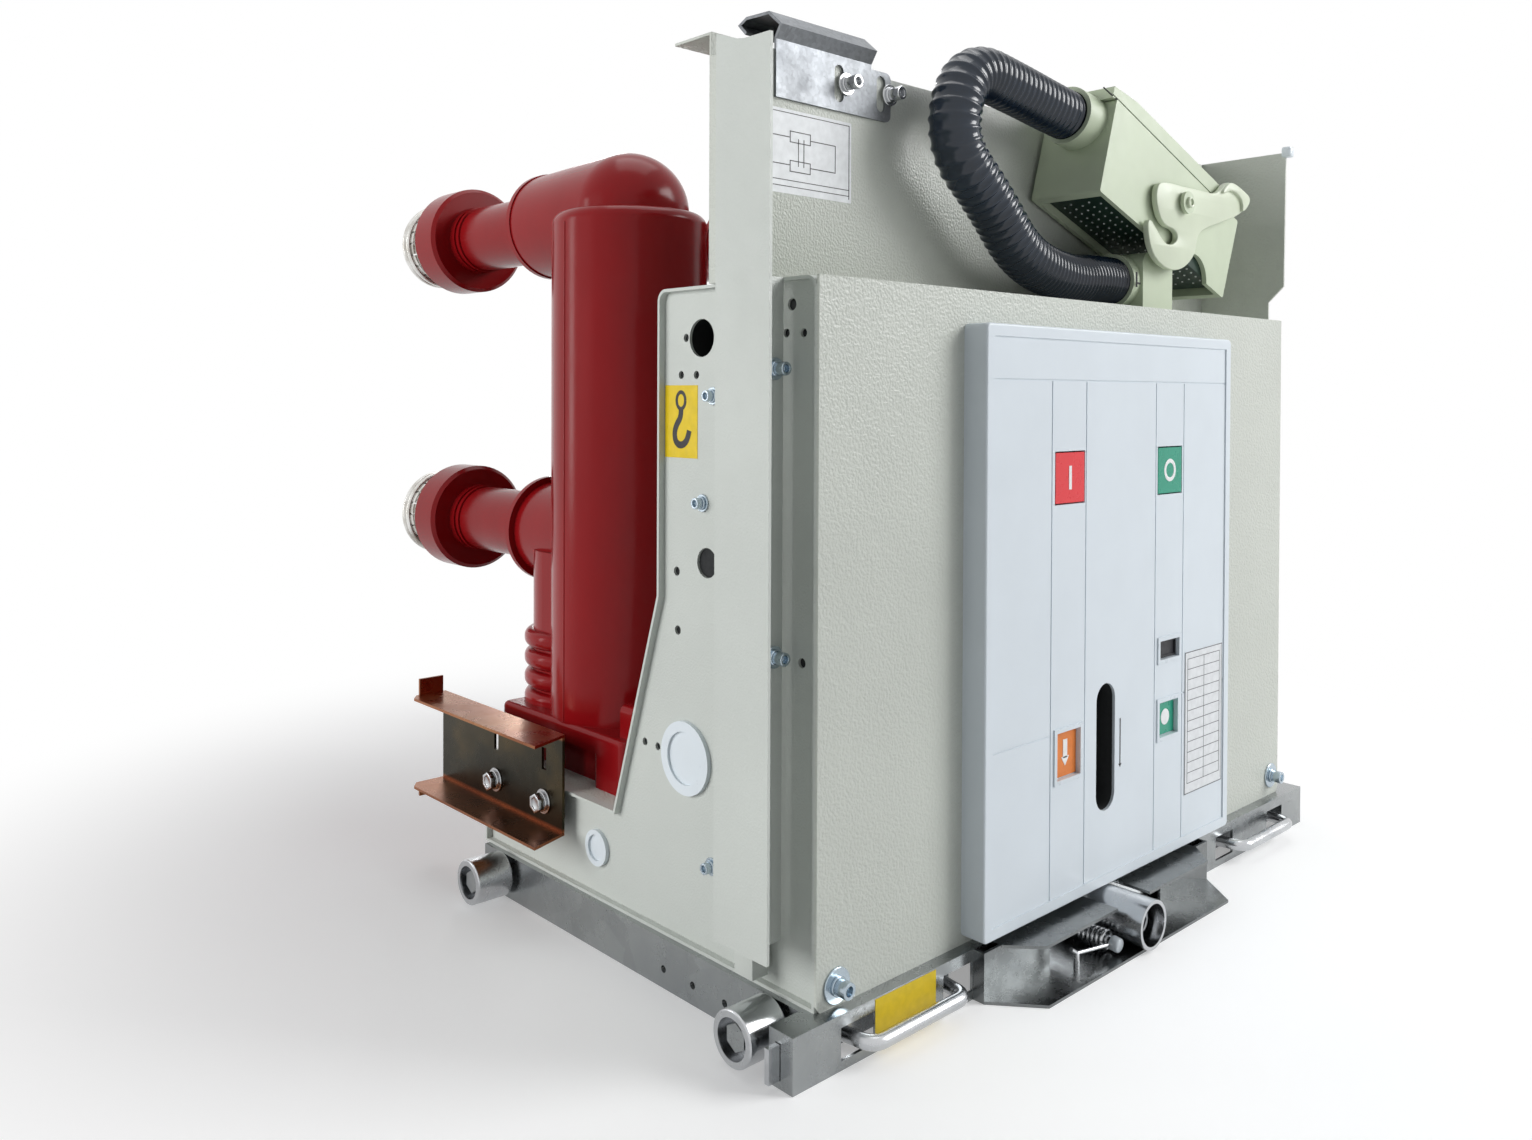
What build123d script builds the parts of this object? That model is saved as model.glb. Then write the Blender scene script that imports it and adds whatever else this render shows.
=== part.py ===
from build123d import *
import math
import os

os.makedirs("parts", exist_ok=True)

# Withdrawable vacuum circuit breaker, millimetres. X to the right seen from the front, Y to the back, Z up.
# Heights are from the floor. Depths named d_ are counted back from the plane of the front cover.

# Housing
cover_w = 581.0
cover_h = 418.0
cover_z = 32.0
sheet = 2.0
half_w = cover_w / 2
top_z = cover_z + cover_h
lip = 6.7
face_x = half_w - lip
d_upper = 148.0
kink_z = 251.0
d_ledge = 196.0
ledge_z = 98.0
d_rear = 366.0
d_split = 84.0
d_lift = 108.8
lift_z = 417.7
lift_r = 12.0
d_cap = 121.7
cap_z = 150.0
cap_r = 23.5
d_small_cap = 219.2
small_cap_z = 65.8
small_cap_r = 12.5
rim = 2.0

# Truck and rollers
rail_x = half_w + 4.0
roller_gap = 3.0
roller_w = 28.5
roller_in = rail_x + roller_gap
roller_out = roller_in + roller_w
roller_r = 16.5
roller_z = 18.5
axle_r = 5.0
pin_gap = 0.05
beam_half = roller_out - 8.5
d_beam = -9.0
beam_h = 32.0
d_side = 12.0
d_truck_rear = 360.0
d_roller_front = 32.0
d_roller_rear = d_truck_rear - 30.0

# Centre tray and racking gear, a little left of the middle
tray_x = -15.5
tray_half = 143.5
tray_corner = 26.0
d_tray = -17.7
tray_reach = 48.4
lip_half = 125.5
lip_reach = 38.0
lip_corner = 20.0
mouth_half = 72.0
gear_half = 84.0
gear_depth = 40.0
ring_r = 17.0
ring_wall = 2.5
ring_z = 19.0
d_ring = -53.0
socket_r = 9.0
hex_r = 6.0

# Pull handles
handle_r = 4.5
handle_z = 15.0
handle_span = 91.0
handle_b = beam_half - 47.5
handle_a = handle_b - handle_span
handle_reach = 22.0
handle_stroke = 10.0
handle_gap = 5.0
bar_t = 7.0
bar_h = 14.0
d_bar = 1.0
tongue_t = 3.5
tongue_out = 8.5
tongue_z0 = 5.0
tongue_z1 = 25.0
slide_gap = 0.4

# Operator panel
panel_x0 = -160.0
panel_x1 = 161.0
panel_z0 = 37.0
panel_z1 = 428.0
panel_t = 18.0
button_w = 34.0
button_z = 327.0
close_x = -66.0
open_x = 67.0
button_travel = 4.0
slot_x = -19.5
slot_z0 = 90.0
slot_z1 = 180.0
slot_w = 24.0
stem_r = 6.0
lever_pin_r = 4.0
d_lever = 30.0
lever_z = 112.0

# Guard plate and its wings
d_guard = 90.0
guard_z1 = 604.0
guard_x0 = -half_w - 4.0
guard_x1 = half_w + 28.0
flange_depth = 36.0
strip_x = half_w + 29.0
d_strip0 = 10.0
d_strip1 = 56.0
d_web = 29.0
strip_z0 = 65.0
strip_z1 = 590.0
wing_z0 = 469.0

# Poles, spaced for twelve kilovolts
phase_pitch = 210.0
d_pole = 288.0
pole_r = 60.0
pole_top = 522.0
arm_upper_z = 523.0
arm_lower_z = 269.0
foot_z0 = ledge_z
foot_z1 = 137.0
foot_t = 14.0
foot_half = 61.0
foot_leg = 38.0
foot_wall = 15.0
wall_z = 160.0
d_foot0 = 211.0
d_foot1 = 376.0
d_spine = 345.0
spine_r = 43.0
fin_r = 50.0
fin_pitch = 16.0
fin_z = 139.0
dome_r = 46.0
neck_r = 28.5
cup_r = 47.0
d_collar = 394.0
d_cup = 520.0
d_cup_end = 555.0
d_tip = 597.0
tulip_r = 39.0
finger_r = 34.0
finger_count = 20
finger_gap = 1.6
spring_r = 2.6
contact_r = 17.5
contact_depth = 53.0

# Shutter rails
shutter_z0 = 68.0
shutter_z1 = 140.0
d_shutter0 = 249.0
d_shutter1 = 424.0
shutter_x = half_w + 4.0
shutter_w = 31.5
shutter_flare = 11.0
shutter_hook = 13.0

# Hose and plug
hose_r = 18.8
d_hose = 52.0
elbow_x = 110.0
hose_z = 475.0
d_plug = 24.0
plug_t = 62.0
plug_wall = 4.0
seam = 1.2
pivot_x = 147.4
pivot_z = 540.0
pivot_r = 6.0
cam_t = 5.0
cam_gap = 2.0
knob_depth = 34.0

y_cover = -(d_tip + d_ring) / 2


def block(x0, x1, d0, d1, z0, z1):
    """Box between two corners, with depths counted back from the cover."""
    place = Pos((x0 + x1) / 2, y_cover + (d0 + d1) / 2, (z0 + z1) / 2)
    return place * Box(x1 - x0, d1 - d0, z1 - z0)


def cyl_x(r, x0, x1, d, z):
    """Cylinder along X."""
    return Pos((x0 + x1) / 2, y_cover + d, z) * Rot(0, 90, 0) * Cylinder(r, x1 - x0)


def cyl_y(r, d0, d1, x, z):
    """Cylinder along Y."""
    return Pos(x, y_cover + (d0 + d1) / 2, z) * Rot(90, 0, 0) * Cylinder(r, d1 - d0)


def cyl_z(r, z0, z1, x, d):
    """Cylinder along Z."""
    return Pos(x, y_cover + d, (z0 + z1) / 2) * Cylinder(r, z1 - z0)


def yz_solid(points, x0, x1):
    """Outline of (depth, z) points, pushed along X."""
    outline = Polyline(*[(x0, y_cover + d, z) for d, z in points], close=True)
    return extrude(make_face(outline), amount=x1 - x0, dir=(1, 0, 0))


def xy_solid(points, z0, z1):
    """Outline of (x, depth) points, pushed up."""
    outline = Polyline(*[(x, y_cover + d, z0) for x, d in points], close=True)
    return extrude(make_face(outline), amount=z1 - z0, dir=(0, 0, 1))


def xz_solid(points, d0, d1):
    """Outline of (x, z) points, pushed back."""
    outline = Polyline(*[(x, y_cover + d0, z) for x, z in points], close=True)
    return extrude(make_face(outline), amount=d1 - d0, dir=(0, 1, 0))


def slot_y(x, z, width, length, d0, d1):
    """Upright slot with round ends, cut along Y."""
    reach = (length - width) / 2
    body = block(x - width / 2, x + width / 2, d0, d1, z - reach, z + reach)
    body += cyl_y(width / 2, d0, d1, x, z - reach)
    body += cyl_y(width / 2, d0, d1, x, z + reach)
    return body


def mirror_x(shape):
    """The same shape on the other side of the centre plane."""
    return mirror(shape, about=Plane.YZ)


def save(shape, node):
    """One solid per file."""
    solids = shape.solids()
    export_step(solids[0] if len(solids) == 1 else shape, "parts/" + node + ".step")


# Side plates: a flat face inside a narrow outward lip that runs all round.
profile = [
    (sheet, cover_z),
    (sheet, top_z),
    (d_upper, top_z),
    (d_upper, kink_z),
    (d_ledge, ledge_z),
    (d_rear, ledge_z),
    (d_rear, cover_z),
]
inner_profile = [
    (2 * sheet, cover_z + sheet),
    (2 * sheet, top_z - sheet),
    (d_upper - sheet, top_z - sheet),
    (d_upper - sheet, kink_z - 0.4),
    (d_ledge - 1.4, ledge_z - sheet),
    (d_rear - sheet, ledge_z - sheet),
    (d_rear - sheet, cover_z + sheet),
]
side = yz_solid(profile, face_x, half_w)
side = fillet(side.edges().filter_by(Axis.X).sort_by(Axis.Z)[-2:], 8)
pocket = yz_solid(inner_profile, face_x + sheet, half_w + 1)
pocket = fillet(pocket.edges().filter_by(Axis.X).sort_by(Axis.Z)[-2:], 6)
side -= pocket
side_holes = [
    (d_lift, lift_z, lift_r),
    (124.2, 418.2, 2.6),
    (129.1, 394.6, 2.6),
    (113.8, 394.5, 2.6),
    (133.0, 268.2, 3.0),
    (131.8, 230.3, 3.0),
    (166.3, 151.0, 2.6),
    (152.4, 150.7, 2.6),
    (102.9, 276.5, 9.5),
    (27.0, 434.5, 3.6),
    (31.5, 418.1, 2.6),
    (17.2, 417.7, 2.6),
    (17.6, 227.7, 3.0),
    (d_small_cap, small_cap_z, small_cap_r - rim),
    (d_cap, cap_z, cap_r - rim),
]
for d, z, r in side_holes:
    side -= cyl_x(r, face_x - 1, face_x + sheet + 1, d, z)
save(side, "side_plate_right")
save(mirror_x(side), "side_plate_left")

# White plastic caps that close the large holes of the side plates.
caps = Part()
for d, z, r in ((d_cap, cap_z, cap_r), (d_small_cap, small_cap_z, small_cap_r)):
    caps += cyl_x(r, face_x + sheet, face_x + sheet + 3, d, z)
    caps += cyl_x(r - rim - pin_gap, face_x, face_x + sheet, d, z)
    caps -= cyl_x(0.72 * r, face_x + sheet + 1.2, face_x + sheet + 4, d, z)
save(caps, "hole_cap_right")
save(mirror_x(caps), "hole_cap_left")

# Closed operating mechanism between the side plates, kept solid in three blocks.
case = block(-face_x, face_x, sheet, d_split, cover_z, top_z)
slot_depth = 46.0
slot_mid = (slot_z0 + slot_z1) / 2
case -= block(slot_x - slot_w / 2, slot_x + slot_w / 2, 0, slot_depth, slot_z0, slot_z1)
case += cyl_x(lever_pin_r, slot_x - slot_w / 2, slot_x + slot_w / 2, d_lever, lever_z)
for x in (close_x, open_x):
    case -= cyl_y(stem_r + 2, 0, 10, x, button_z)
save(case, "mechanism_case_front")

rear = block(-face_x, face_x, d_split, d_upper, cover_z, top_z)
for x in (-face_x, face_x):
    rear -= cyl_x(lift_r + 3, x - 25, x + 25, d_lift, lift_z)
save(rear, "mechanism_case_rear")

# Pole base: the sloped back and the ledge that carries the poles.
base_pts = [
    (d_upper, cover_z),
    (d_upper, kink_z),
    (d_ledge, ledge_z),
    (d_rear, ledge_z),
    (d_rear, cover_z),
]
save(yz_solid(base_pts, -face_x, face_x), "pole_base")

# Front cover with small chamfers at its lower corners.
cover_pts = [
    (-half_w + 3, cover_z),
    (-half_w, cover_z + 4),
    (-half_w, top_z),
    (half_w, top_z),
    (half_w, cover_z + 4),
    (half_w - 3, cover_z),
]
cover = xz_solid(cover_pts, 0, sheet)
cover -= slot_y(slot_x, slot_mid, slot_w, slot_z1 - slot_z0, -1, sheet + 1)
for x in (close_x, open_x):
    cover -= cyl_y(stem_r + 2, -1, sheet + 1, x, button_z)
save(cover, "front_cover")

# Operator panel.
panel = block(panel_x0, panel_x1, -panel_t, 0, panel_z0, panel_z1)
panel = fillet(panel.edges().filter_by(Axis.Y), 4)
panel = fillet(panel.faces().sort_by(Axis.Y)[0].edges(), 1.5)
panel -= block(panel_x0 + 8, panel_x1 - 8, -panel_t - 1, -panel_t + 1, panel_z0 + 8, panel_z1 - 8)
pocket_half = button_w / 2 + 1
for x in (close_x, open_x):
    low = button_z - pocket_half
    panel -= block(x - pocket_half, x + pocket_half, -panel_t - 1, -4, low, low + 2 * pocket_half)
    panel -= cyl_y(stem_r + pin_gap, -5, 1, x, button_z)
panel -= slot_y(slot_x, slot_mid, slot_w, slot_z1 - slot_z0, -panel_t - 1, 1)
windows = [
    ("counter_window", 67.5, 192.5, 34.0, 20.0),
    ("charge_window", -66.5, 139.5, 34.0, 38.0),
    ("position_window", 66.5, 140.5, 33.0, 32.0),
]
for name, x, z, w, h in windows:
    panel -= block(x - w / 2, x + w / 2, -panel_t, -panel_t + 6, z - h / 2, z + h / 2)
    frame_ring = block(x - w / 2, x + w / 2, -panel_t, -panel_t + 6, z - h / 2, z + h / 2)
    clear_w = w / 2 - 3
    clear_h = h / 2 - 3
    frame_ring -= block(x - clear_w, x + clear_w, -panel_t - 1, -panel_t + 4, z - clear_h, z + clear_h)
    save(frame_ring, name)
groove_low = panel_z0 + 8
groove_top = panel_z1 - 36
for x in (-87.5, -46.5, 46.5, 87.5):
    panel -= block(x - 0.6, x + 0.6, -panel_t, -panel_t + 1.6, groove_low, groove_top)
panel -= block(panel_x0 + 8, panel_x1 - 8, -panel_t, -panel_t + 1.6, groove_top, groove_top + 1.2)
panel -= block(panel_x0 + 8, -87.5, -panel_t, -panel_t + 1.6, 155, 156.2)
panel -= block(87.5, panel_x1 - 8, -panel_t, -panel_t + 1.6, 155, 156.2)
save(panel, "operator_panel")

# Push buttons: a square head on a round stem.
for name, x in (("close_button", close_x), ("open_button", open_x)):
    low = button_z - button_w / 2
    head = block(x - button_w / 2, x + button_w / 2, -panel_t + 1, -panel_t + 5, low, low + button_w)
    head += cyl_y(stem_r, -panel_t + 5, -1, x, button_z)
    save(head, name)

# Manual charging lever on the cross pin inside its slot.
lever = cyl_x(9, slot_x - 6, slot_x + 6, d_lever, lever_z)
lever += block(slot_x - 6, slot_x + 6, d_lever - 8, d_lever + 8, lever_z, lever_z + 52)
lever -= cyl_x(lever_pin_r + pin_gap, slot_x - 7, slot_x + 7, d_lever, lever_z)
save(lever, "charging_lever")

# Truck frame: side channels, a front beam with folded ends, a rear channel, and the roller axles.
half = block(rail_x - sheet, rail_x, d_side, d_truck_rear, 0, beam_h)
half += block(rail_x - 40, rail_x, d_side, d_truck_rear, beam_h - sheet, beam_h)
half += block(rail_x - 20, rail_x, d_side, d_truck_rear, 0, sheet)
half += block(0, beam_half, d_beam, d_beam + sheet, 0, beam_h)
half += block(0, rail_x, d_beam + sheet, 40, beam_h - sheet, beam_h)
half += block(0, beam_half, d_beam, 10, beam_h - sheet, beam_h)
half += block(beam_half - sheet, beam_half, d_beam, 10, 0, beam_h)
guide = block(beam_half - 3, beam_half + 1, d_bar, d_bar + tongue_t, tongue_z0, tongue_z1)
half -= offset(guide, slide_gap, kind=Kind.INTERSECTION)
half += block(0, rail_x, d_truck_rear - sheet, d_truck_rear, 0, beam_h)
half += block(0, rail_x, d_truck_rear - 40, d_truck_rear, beam_h - sheet, beam_h)
for x in (handle_a, handle_b):
    reach = handle_r + handle_gap
    window = block(x - reach - handle_stroke, x + reach, d_beam - 1, d_beam + sheet + 1, 0, 2 * reach)
    half -= Pos(0, 0, handle_z - reach) * window
for d in (d_roller_front, d_roller_rear):
    half += cyl_x(axle_r, rail_x - 1, roller_out - 9, d, roller_z)
    nut = Pos(roller_out - 9, y_cover + d, roller_z) * Rot(0, 90, 0) * RegularPolygon(8.5, 6)
    half += extrude(nut, 6)
for d in (74.4, 105.0, 134.5):
    half -= cyl_x(2.4, rail_x - 3, rail_x + 1, d, 12.5)
frame = half + mirror_x(half)
frame -= block(tray_x - gear_half, tray_x + gear_half, d_beam - 1, d_beam + sheet, sheet, beam_h - sheet)
save(frame, "truck_frame")


def tray_plate(half_width, reach, corner, z0, z1):
    """Lip of the tray with cut front corners."""
    points = [
        (tray_x - half_width, d_beam),
        (tray_x - half_width, d_tray),
        (tray_x - half_width + corner, -reach),
        (tray_x + half_width - corner, -reach),
        (tray_x + half_width, d_tray),
        (tray_x + half_width, d_beam),
    ]
    return xy_solid(points, z0, z1)


# Centre tray: a channel on the front beam, with a mouth for the racking gear.
tray = tray_plate(tray_half, tray_reach, tray_corner, 0, sheet)
tray += tray_plate(lip_half, lip_reach, lip_corner, beam_h - sheet, beam_h)
for side in (-1, 1):
    end_a = tray_x + side * mouth_half
    end_b = tray_x + side * tray_half
    low = min(end_a, end_b)
    high = max(end_a, end_b)
    tray += block(low, high, d_tray, d_tray + sheet, 0, beam_h)
    end_c = end_b - side * sheet
    tray += block(min(end_b, end_c), max(end_b, end_c), d_tray, d_beam, 0, beam_h)
ring_room = ring_r + 4
notch = block(-ring_room, ring_room, -tray_reach - 1, d_beam + 1, beam_h - sheet - 1, beam_h + 1)
tray -= Pos(tray_x, 0, 0) * notch
save(tray, "centre_tray")

# Racking gear case with its guide ring, and the socket that turns inside it.
gear = block(tray_x - gear_half, tray_x + gear_half, d_beam, d_beam + gear_depth, sheet, beam_h - sheet)
gear += cyl_y(ring_r, d_ring, d_beam, tray_x, ring_z)
gear -= cyl_y(ring_r - ring_wall, d_ring - 1, d_beam - 2, tray_x, ring_z)
gear -= cyl_y(socket_r + pin_gap, d_beam - 3, 24, tray_x, ring_z)
save(gear, "racking_case")
socket = cyl_y(socket_r, d_ring + 9, 23, tray_x, ring_z)
socket = chamfer(socket.edges().sort_by(Axis.Y)[0], 1.2)
hex_face = Pos(tray_x, y_cover + d_ring + 8, ring_z) * Rot(-90, 0, 0) * RegularPolygon(hex_r, 6)
socket -= extrude(hex_face, 26)
save(socket, "racking_socket")

# Pull handles: a bent rod that moves a slide bar and its locking tongue behind the beam.
rod_pts = [
    (handle_b, d_bar + 2),
    (handle_b - 4, -handle_reach),
    (handle_a + 4, -handle_reach),
    (handle_a, d_bar + 2),
]
rod_line = FilletPolyline(*[(x, y_cover + d, handle_z) for x, d in rod_pts], radius=9)
rod = sweep(Plane(origin=rod_line @ 0, z_dir=rod_line % 0) * Circle(handle_r), path=rod_line)
bar_x1 = rail_x - handle_gap
bar = block(handle_a - 8, bar_x1, d_bar, d_bar + bar_t, handle_z - bar_h / 2, handle_z + bar_h / 2)
handle = rod + bar
handle += block(bar_x1 - 4, beam_half + tongue_out, d_bar, d_bar + tongue_t, tongue_z0, tongue_z1)
save(handle, "handle_right")
save(mirror_x(handle), "handle_left")

# Rollers turn on the axles of the frame.
roller = cyl_x(roller_r, roller_in, roller_out, d_roller_front, roller_z)
roller = fillet(roller.edges().filter_by(GeomType.CIRCLE), 1.2)
roller -= cyl_x(12, roller_out - 10, roller_out + 1, d_roller_front, roller_z)
roller -= cyl_x(axle_r + pin_gap, roller_in - 1, roller_out + 1, d_roller_front, roller_z)
save(roller, "roller_front_right")
save(mirror_x(roller), "roller_front_left")
back = Pos(0, d_roller_rear - d_roller_front, 0) * roller
save(back, "roller_rear_right")
save(mirror_x(back), "roller_rear_left")

# Guard plate that stands on the housing, with a top flange bent to the back.
guard = block(guard_x0, guard_x1, d_guard, d_guard + sheet, top_z, guard_z1)
guard += block(guard_x0, -guard_x0, d_guard, d_guard + flange_depth, guard_z1 - sheet, guard_z1)
guard += block(guard_x0, guard_x0 + sheet, d_web + sheet, d_guard, top_z, guard_z1)
save(guard, "guard_plate")

# Long side strip on the left, an angle of sheet from the truck to the top.
strip = block(-strip_x, -strip_x + sheet, d_strip0, d_strip1, strip_z0, strip_z1)
strip += block(-strip_x, -half_w, d_web, d_web + sheet, strip_z0, top_z)
strip += block(-strip_x, guard_x0 + sheet, d_web, d_web + sheet, top_z, strip_z1)
save(strip, "side_strip_left")

# Short wing on the right with a cut lower corner.
wing_pts = [
    (d_guard + sheet, top_z),
    (d_guard + sheet, guard_z1),
    (d_strip0, guard_z1),
    (d_strip0 + 1, wing_z0 + 14),
    (d_strip0 + 15, wing_z0),
    (d_strip0 + 15, top_z),
]
wing = yz_solid(wing_pts, guard_x1, guard_x1 + sheet)
save(wing, "side_wing_right")

# Hook brackets screwed to the guard plate.
hook_x0 = 152.0
hook_x1 = 242.0
hook_tab = 20.0
hook_z0 = 573.0
hook_z1 = 610.0
d_hook = d_guard - sheet
hook_pts = [
    (d_hook, hook_z0),
    (d_hook, hook_z1),
    (d_hook - 5.4, hook_z1 + 8.3),
    (d_hook + 6.8, hook_z1 + 19),
    (d_hook + 29, hook_z1 + 20),
    (d_hook + 37.3, hook_z1 + 16),
    (d_hook + 30, hook_z1 + 8.5),
    (d_hook + 28.4, hook_z1 + 9.9),
    (d_hook + 34, hook_z1 + 15.4),
    (d_hook + 28.6, hook_z1 + 17.9),
    (d_hook + 7.6, hook_z1 + 17),
    (d_hook - 2.6, hook_z1 + 8.2),
    (d_guard, hook_z1 + 0.8),
    (d_guard, hook_z0),
]
hook = yz_solid(hook_pts, -hook_x1, -hook_x0)
tab = block(-hook_x0, -hook_x0 + hook_tab, d_hook, d_guard, hook_z0, hook_z1 - 3)
tab = fillet(tab.edges().filter_by(Axis.Y).sort_by(Axis.X)[-2:], 5)
hook += tab
hook_slot = 25.0
for x in (-184.0, -142.0):
    hook -= slot_y(x, (hook_z0 + hook_z1) / 2, 9, hook_slot, d_hook - 1, d_guard + 1)
save(hook, "hook_bracket_left")
save(mirror_x(hook), "hook_bracket_right")

# Shutter rails: channels with slanted lips, open to the outside, on round spacers.
shutter_out = shutter_x + shutter_w
flange_pts = [
    (shutter_x, d_shutter0),
    (shutter_out, d_shutter0 - shutter_flare),
    (shutter_out, d_shutter1 - 8),
    (shutter_out - 6, d_shutter1),
    (shutter_x, d_shutter1),
]
shutter = block(shutter_x, shutter_x + sheet, d_shutter0, d_shutter1, shutter_z0, shutter_z1)
shutter += xy_solid(flange_pts, shutter_z1 - sheet, shutter_z1)
shutter += xy_solid(flange_pts, shutter_z0, shutter_z0 + sheet)
end_low = shutter_z0 - shutter_hook + 4
end_high = shutter_z1 + shutter_hook
for z0, z1 in ((end_low, shutter_z0 + sheet), (shutter_z1 - sheet, end_high)):
    shutter += block(shutter_x + 3, shutter_out - 8, d_shutter1 - sheet, d_shutter1, z0, z1)
for d in (273.0, 340.0):
    shutter -= Pos(shutter_x + 1, y_cover + d, 118) * Box(6, 6, 16)
    shutter += cyl_x(7, face_x + sheet, shutter_x, d, 87)
save(shutter, "shutter_rail_right")
save(mirror_x(shutter), "shutter_rail_left")


def turned(points, x, z):
    """Revolved body about an arm's axis, from (radius, depth) points."""
    outline = Polyline(*[(x + r, y_cover + d, z) for r, d in points], close=True)
    return revolve(make_face(outline), axis=Axis((x, 0, z), (0, 1, 0)))


def arm(x, z, root_r, d_root):
    """Insulated contact arm: root, stepped collar, neck with rings and open cup."""
    points = [
        (0, d_root),
        (root_r, d_root),
        (root_r - 3, d_collar),
        (44, d_collar),
        (44, d_collar + 5),
        (40, d_collar + 8),
        (38, d_collar + 15),
        (33, d_collar + 18),
        (neck_r, d_collar + 20),
        (neck_r, d_cup - 16),
        (neck_r + 1.5, d_cup - 16),
        (neck_r + 1.5, d_cup - 12),
        (neck_r, d_cup - 12),
        (neck_r, d_cup - 8),
        (neck_r + 1.5, d_cup - 8),
        (neck_r + 1.5, d_cup),
        (cup_r - 3, d_cup),
        (cup_r, d_cup + 3),
        (cup_r, d_cup_end - 2),
        (cup_r - 2, d_cup_end),
        (tulip_r + 1.5, d_cup_end),
        (tulip_r + 1.5, d_cup + 6),
        (0, d_cup + 6),
    ]
    return turned(points, x, z)


def tulip():
    """Ring of sprung contact fingers about an open bore, at the middle of the row of poles."""
    base = d_tip - 8 - contact_depth
    points = [
        (contact_r, base),
        (0, base),
        (0, d_cup + 6),
        (30, d_cup + 6),
        (finger_r, d_cup + 14),
        (finger_r, d_tip - 14),
        (tulip_r - 3, d_tip - 12),
        (tulip_r - 3, d_tip - 9),
        (tulip_r - 5, d_tip - 7),
        (tulip_r - 3, d_tip - 5),
        (tulip_r - 3, d_tip - 2),
        (tulip_r - 6, d_tip),
        (contact_r + 8, d_tip),
        (contact_r, d_tip - 8),
    ]
    body = turned(points, 0, 0)
    length = d_tip - base - 10
    for i in range(finger_count):
        gap = Pos(tulip_r / 2 + contact_r / 2, 0, 0) * Box(tulip_r - contact_r + 6, length, finger_gap)
        gap = Rot(0, i * 360 / finger_count, 0) * gap
        body -= Pos(0, y_cover + d_tip + 1 - length / 2, 0) * gap
    for d in (d_tip - 10.5, d_tip - 3.5):
        body += Pos(0, y_cover + d, 0) * Rot(90, 0, 0) * Torus(tulip_r - spring_r, spring_r)
    return body


# Embedded poles, each one casting with both arms, and a contact in every cup.
contact = tulip()
for name, x in (("left", -phase_pitch), ("centre", 0.0), ("right", phase_pitch)):
    column = cyl_z(pole_r, foot_z1 - 4, pole_top, x, d_pole)
    column = fillet(column.edges().filter_by(GeomType.CIRCLE).sort_by(Axis.Z)[-1:], 10)
    foot = block(x - foot_half, x + foot_half, d_foot0, d_foot1, foot_z1 - foot_t, foot_z1)
    foot += block(x - foot_half, x + foot_half, d_foot0, d_foot0 + foot_leg, foot_z0, foot_z1)
    foot = fillet(foot.edges().filter_by(Axis.Z), 6)
    foot = fillet(foot.faces().sort_by(Axis.Z)[-1].edges(), 4)
    wall_x = foot_half - 8
    wall = block(x - wall_x, x + wall_x, d_foot0 + 1, d_foot0 + foot_wall, foot_z1 - 4, wall_z)
    foot += fillet(wall.edges().filter_by(Axis.Y).sort_by(Axis.Z)[-2:], 5)
    skirt = block(x - foot_half + 9, x + foot_half - 9, d_foot0 + 4, d_foot1 - 16, foot_z0, foot_z1 - 2)
    spine = cyl_z(spine_r, foot_z1 - 4, arm_lower_z - 12, x, d_spine)
    spine += block(x - spine_r, x + spine_r, d_pole + 10, d_spine, foot_z1 - 4, arm_lower_z - 12)
    pole = column + foot + skirt + spine
    for i in range(4):
        fin = cyl_z(fin_r, 0, fin_pitch - 2, x, d_spine)
        pole += Pos(0, 0, fin_z - fin_pitch / 2 + 1 + i * fin_pitch) * fillet(fin.edges(), 6)
    pole += Pos(x, y_cover + d_pole, arm_upper_z) * Sphere(dome_r)
    pole += arm(x, arm_upper_z, dome_r, d_pole)
    pole += arm(x, arm_lower_z, 42, d_pole)
    save(pole, "pole_" + name)
    save(Pos(x, 0, arm_upper_z) * contact, "contact_upper_" + name)
    save(Pos(x, 0, arm_lower_z) * contact, "contact_lower_" + name)


def bent_path(points, radii):
    """Straight runs joined by arcs in the hose's plane; one radius for each inner point."""
    edges = []
    at = Vector(points[0][0], y_cover + d_hose, points[0][1])
    for i, radius in enumerate(radii):
        corner = Vector(points[i + 1][0], y_cover + d_hose, points[i + 1][1])
        nxt = Vector(points[i + 2][0], y_cover + d_hose, points[i + 2][1])
        into = (corner - at).normalized()
        out = (nxt - corner).normalized()
        turn = math.acos(max(-1.0, min(1.0, into.dot(out))))
        back = radius * math.tan(turn / 2)
        start = corner - into * back
        end = corner + out * back
        inward = (out - into).normalized()
        middle = corner + inward * (radius / math.cos(turn / 2) - radius)
        edges.append(Line(at, start))
        edges.append(ThreePointArc(start, middle, end))
        at = end
    last = Vector(points[-1][0], y_cover + d_hose, points[-1][1])
    edges.append(Line(at, last))
    return Wire(edges)


# Corrugated hose, kept as a plain round bar from the elbow to the plug.
hose_pts = [(elbow_x - 6, hose_z), (-14, hose_z), (-107, 556), (-104, 616), (42, 597)]
hose_line = bent_path(hose_pts, [95, 42, 36])
hose = sweep(Plane(origin=hose_line @ 0, z_dir=hose_line % 0) * Circle(hose_r), path=hose_line)
save(hose, "hose")

elbow = block(elbow_x - 6, elbow_x + 40, d_hose - 24, d_hose + 24, top_z, hose_z + 23)
elbow = fillet(elbow.edges().filter_by(Axis.Y).sort_by(Axis.Z)[-2:], 10)
elbow += cyl_x(hose_r + 3.2, elbow_x - 16, elbow_x - 5, d_hose, hose_z)
elbow -= cyl_x(hose_r + pin_gap, elbow_x - 17, elbow_x - 6, d_hose, hose_z)
save(elbow, "hose_elbow")

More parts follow.
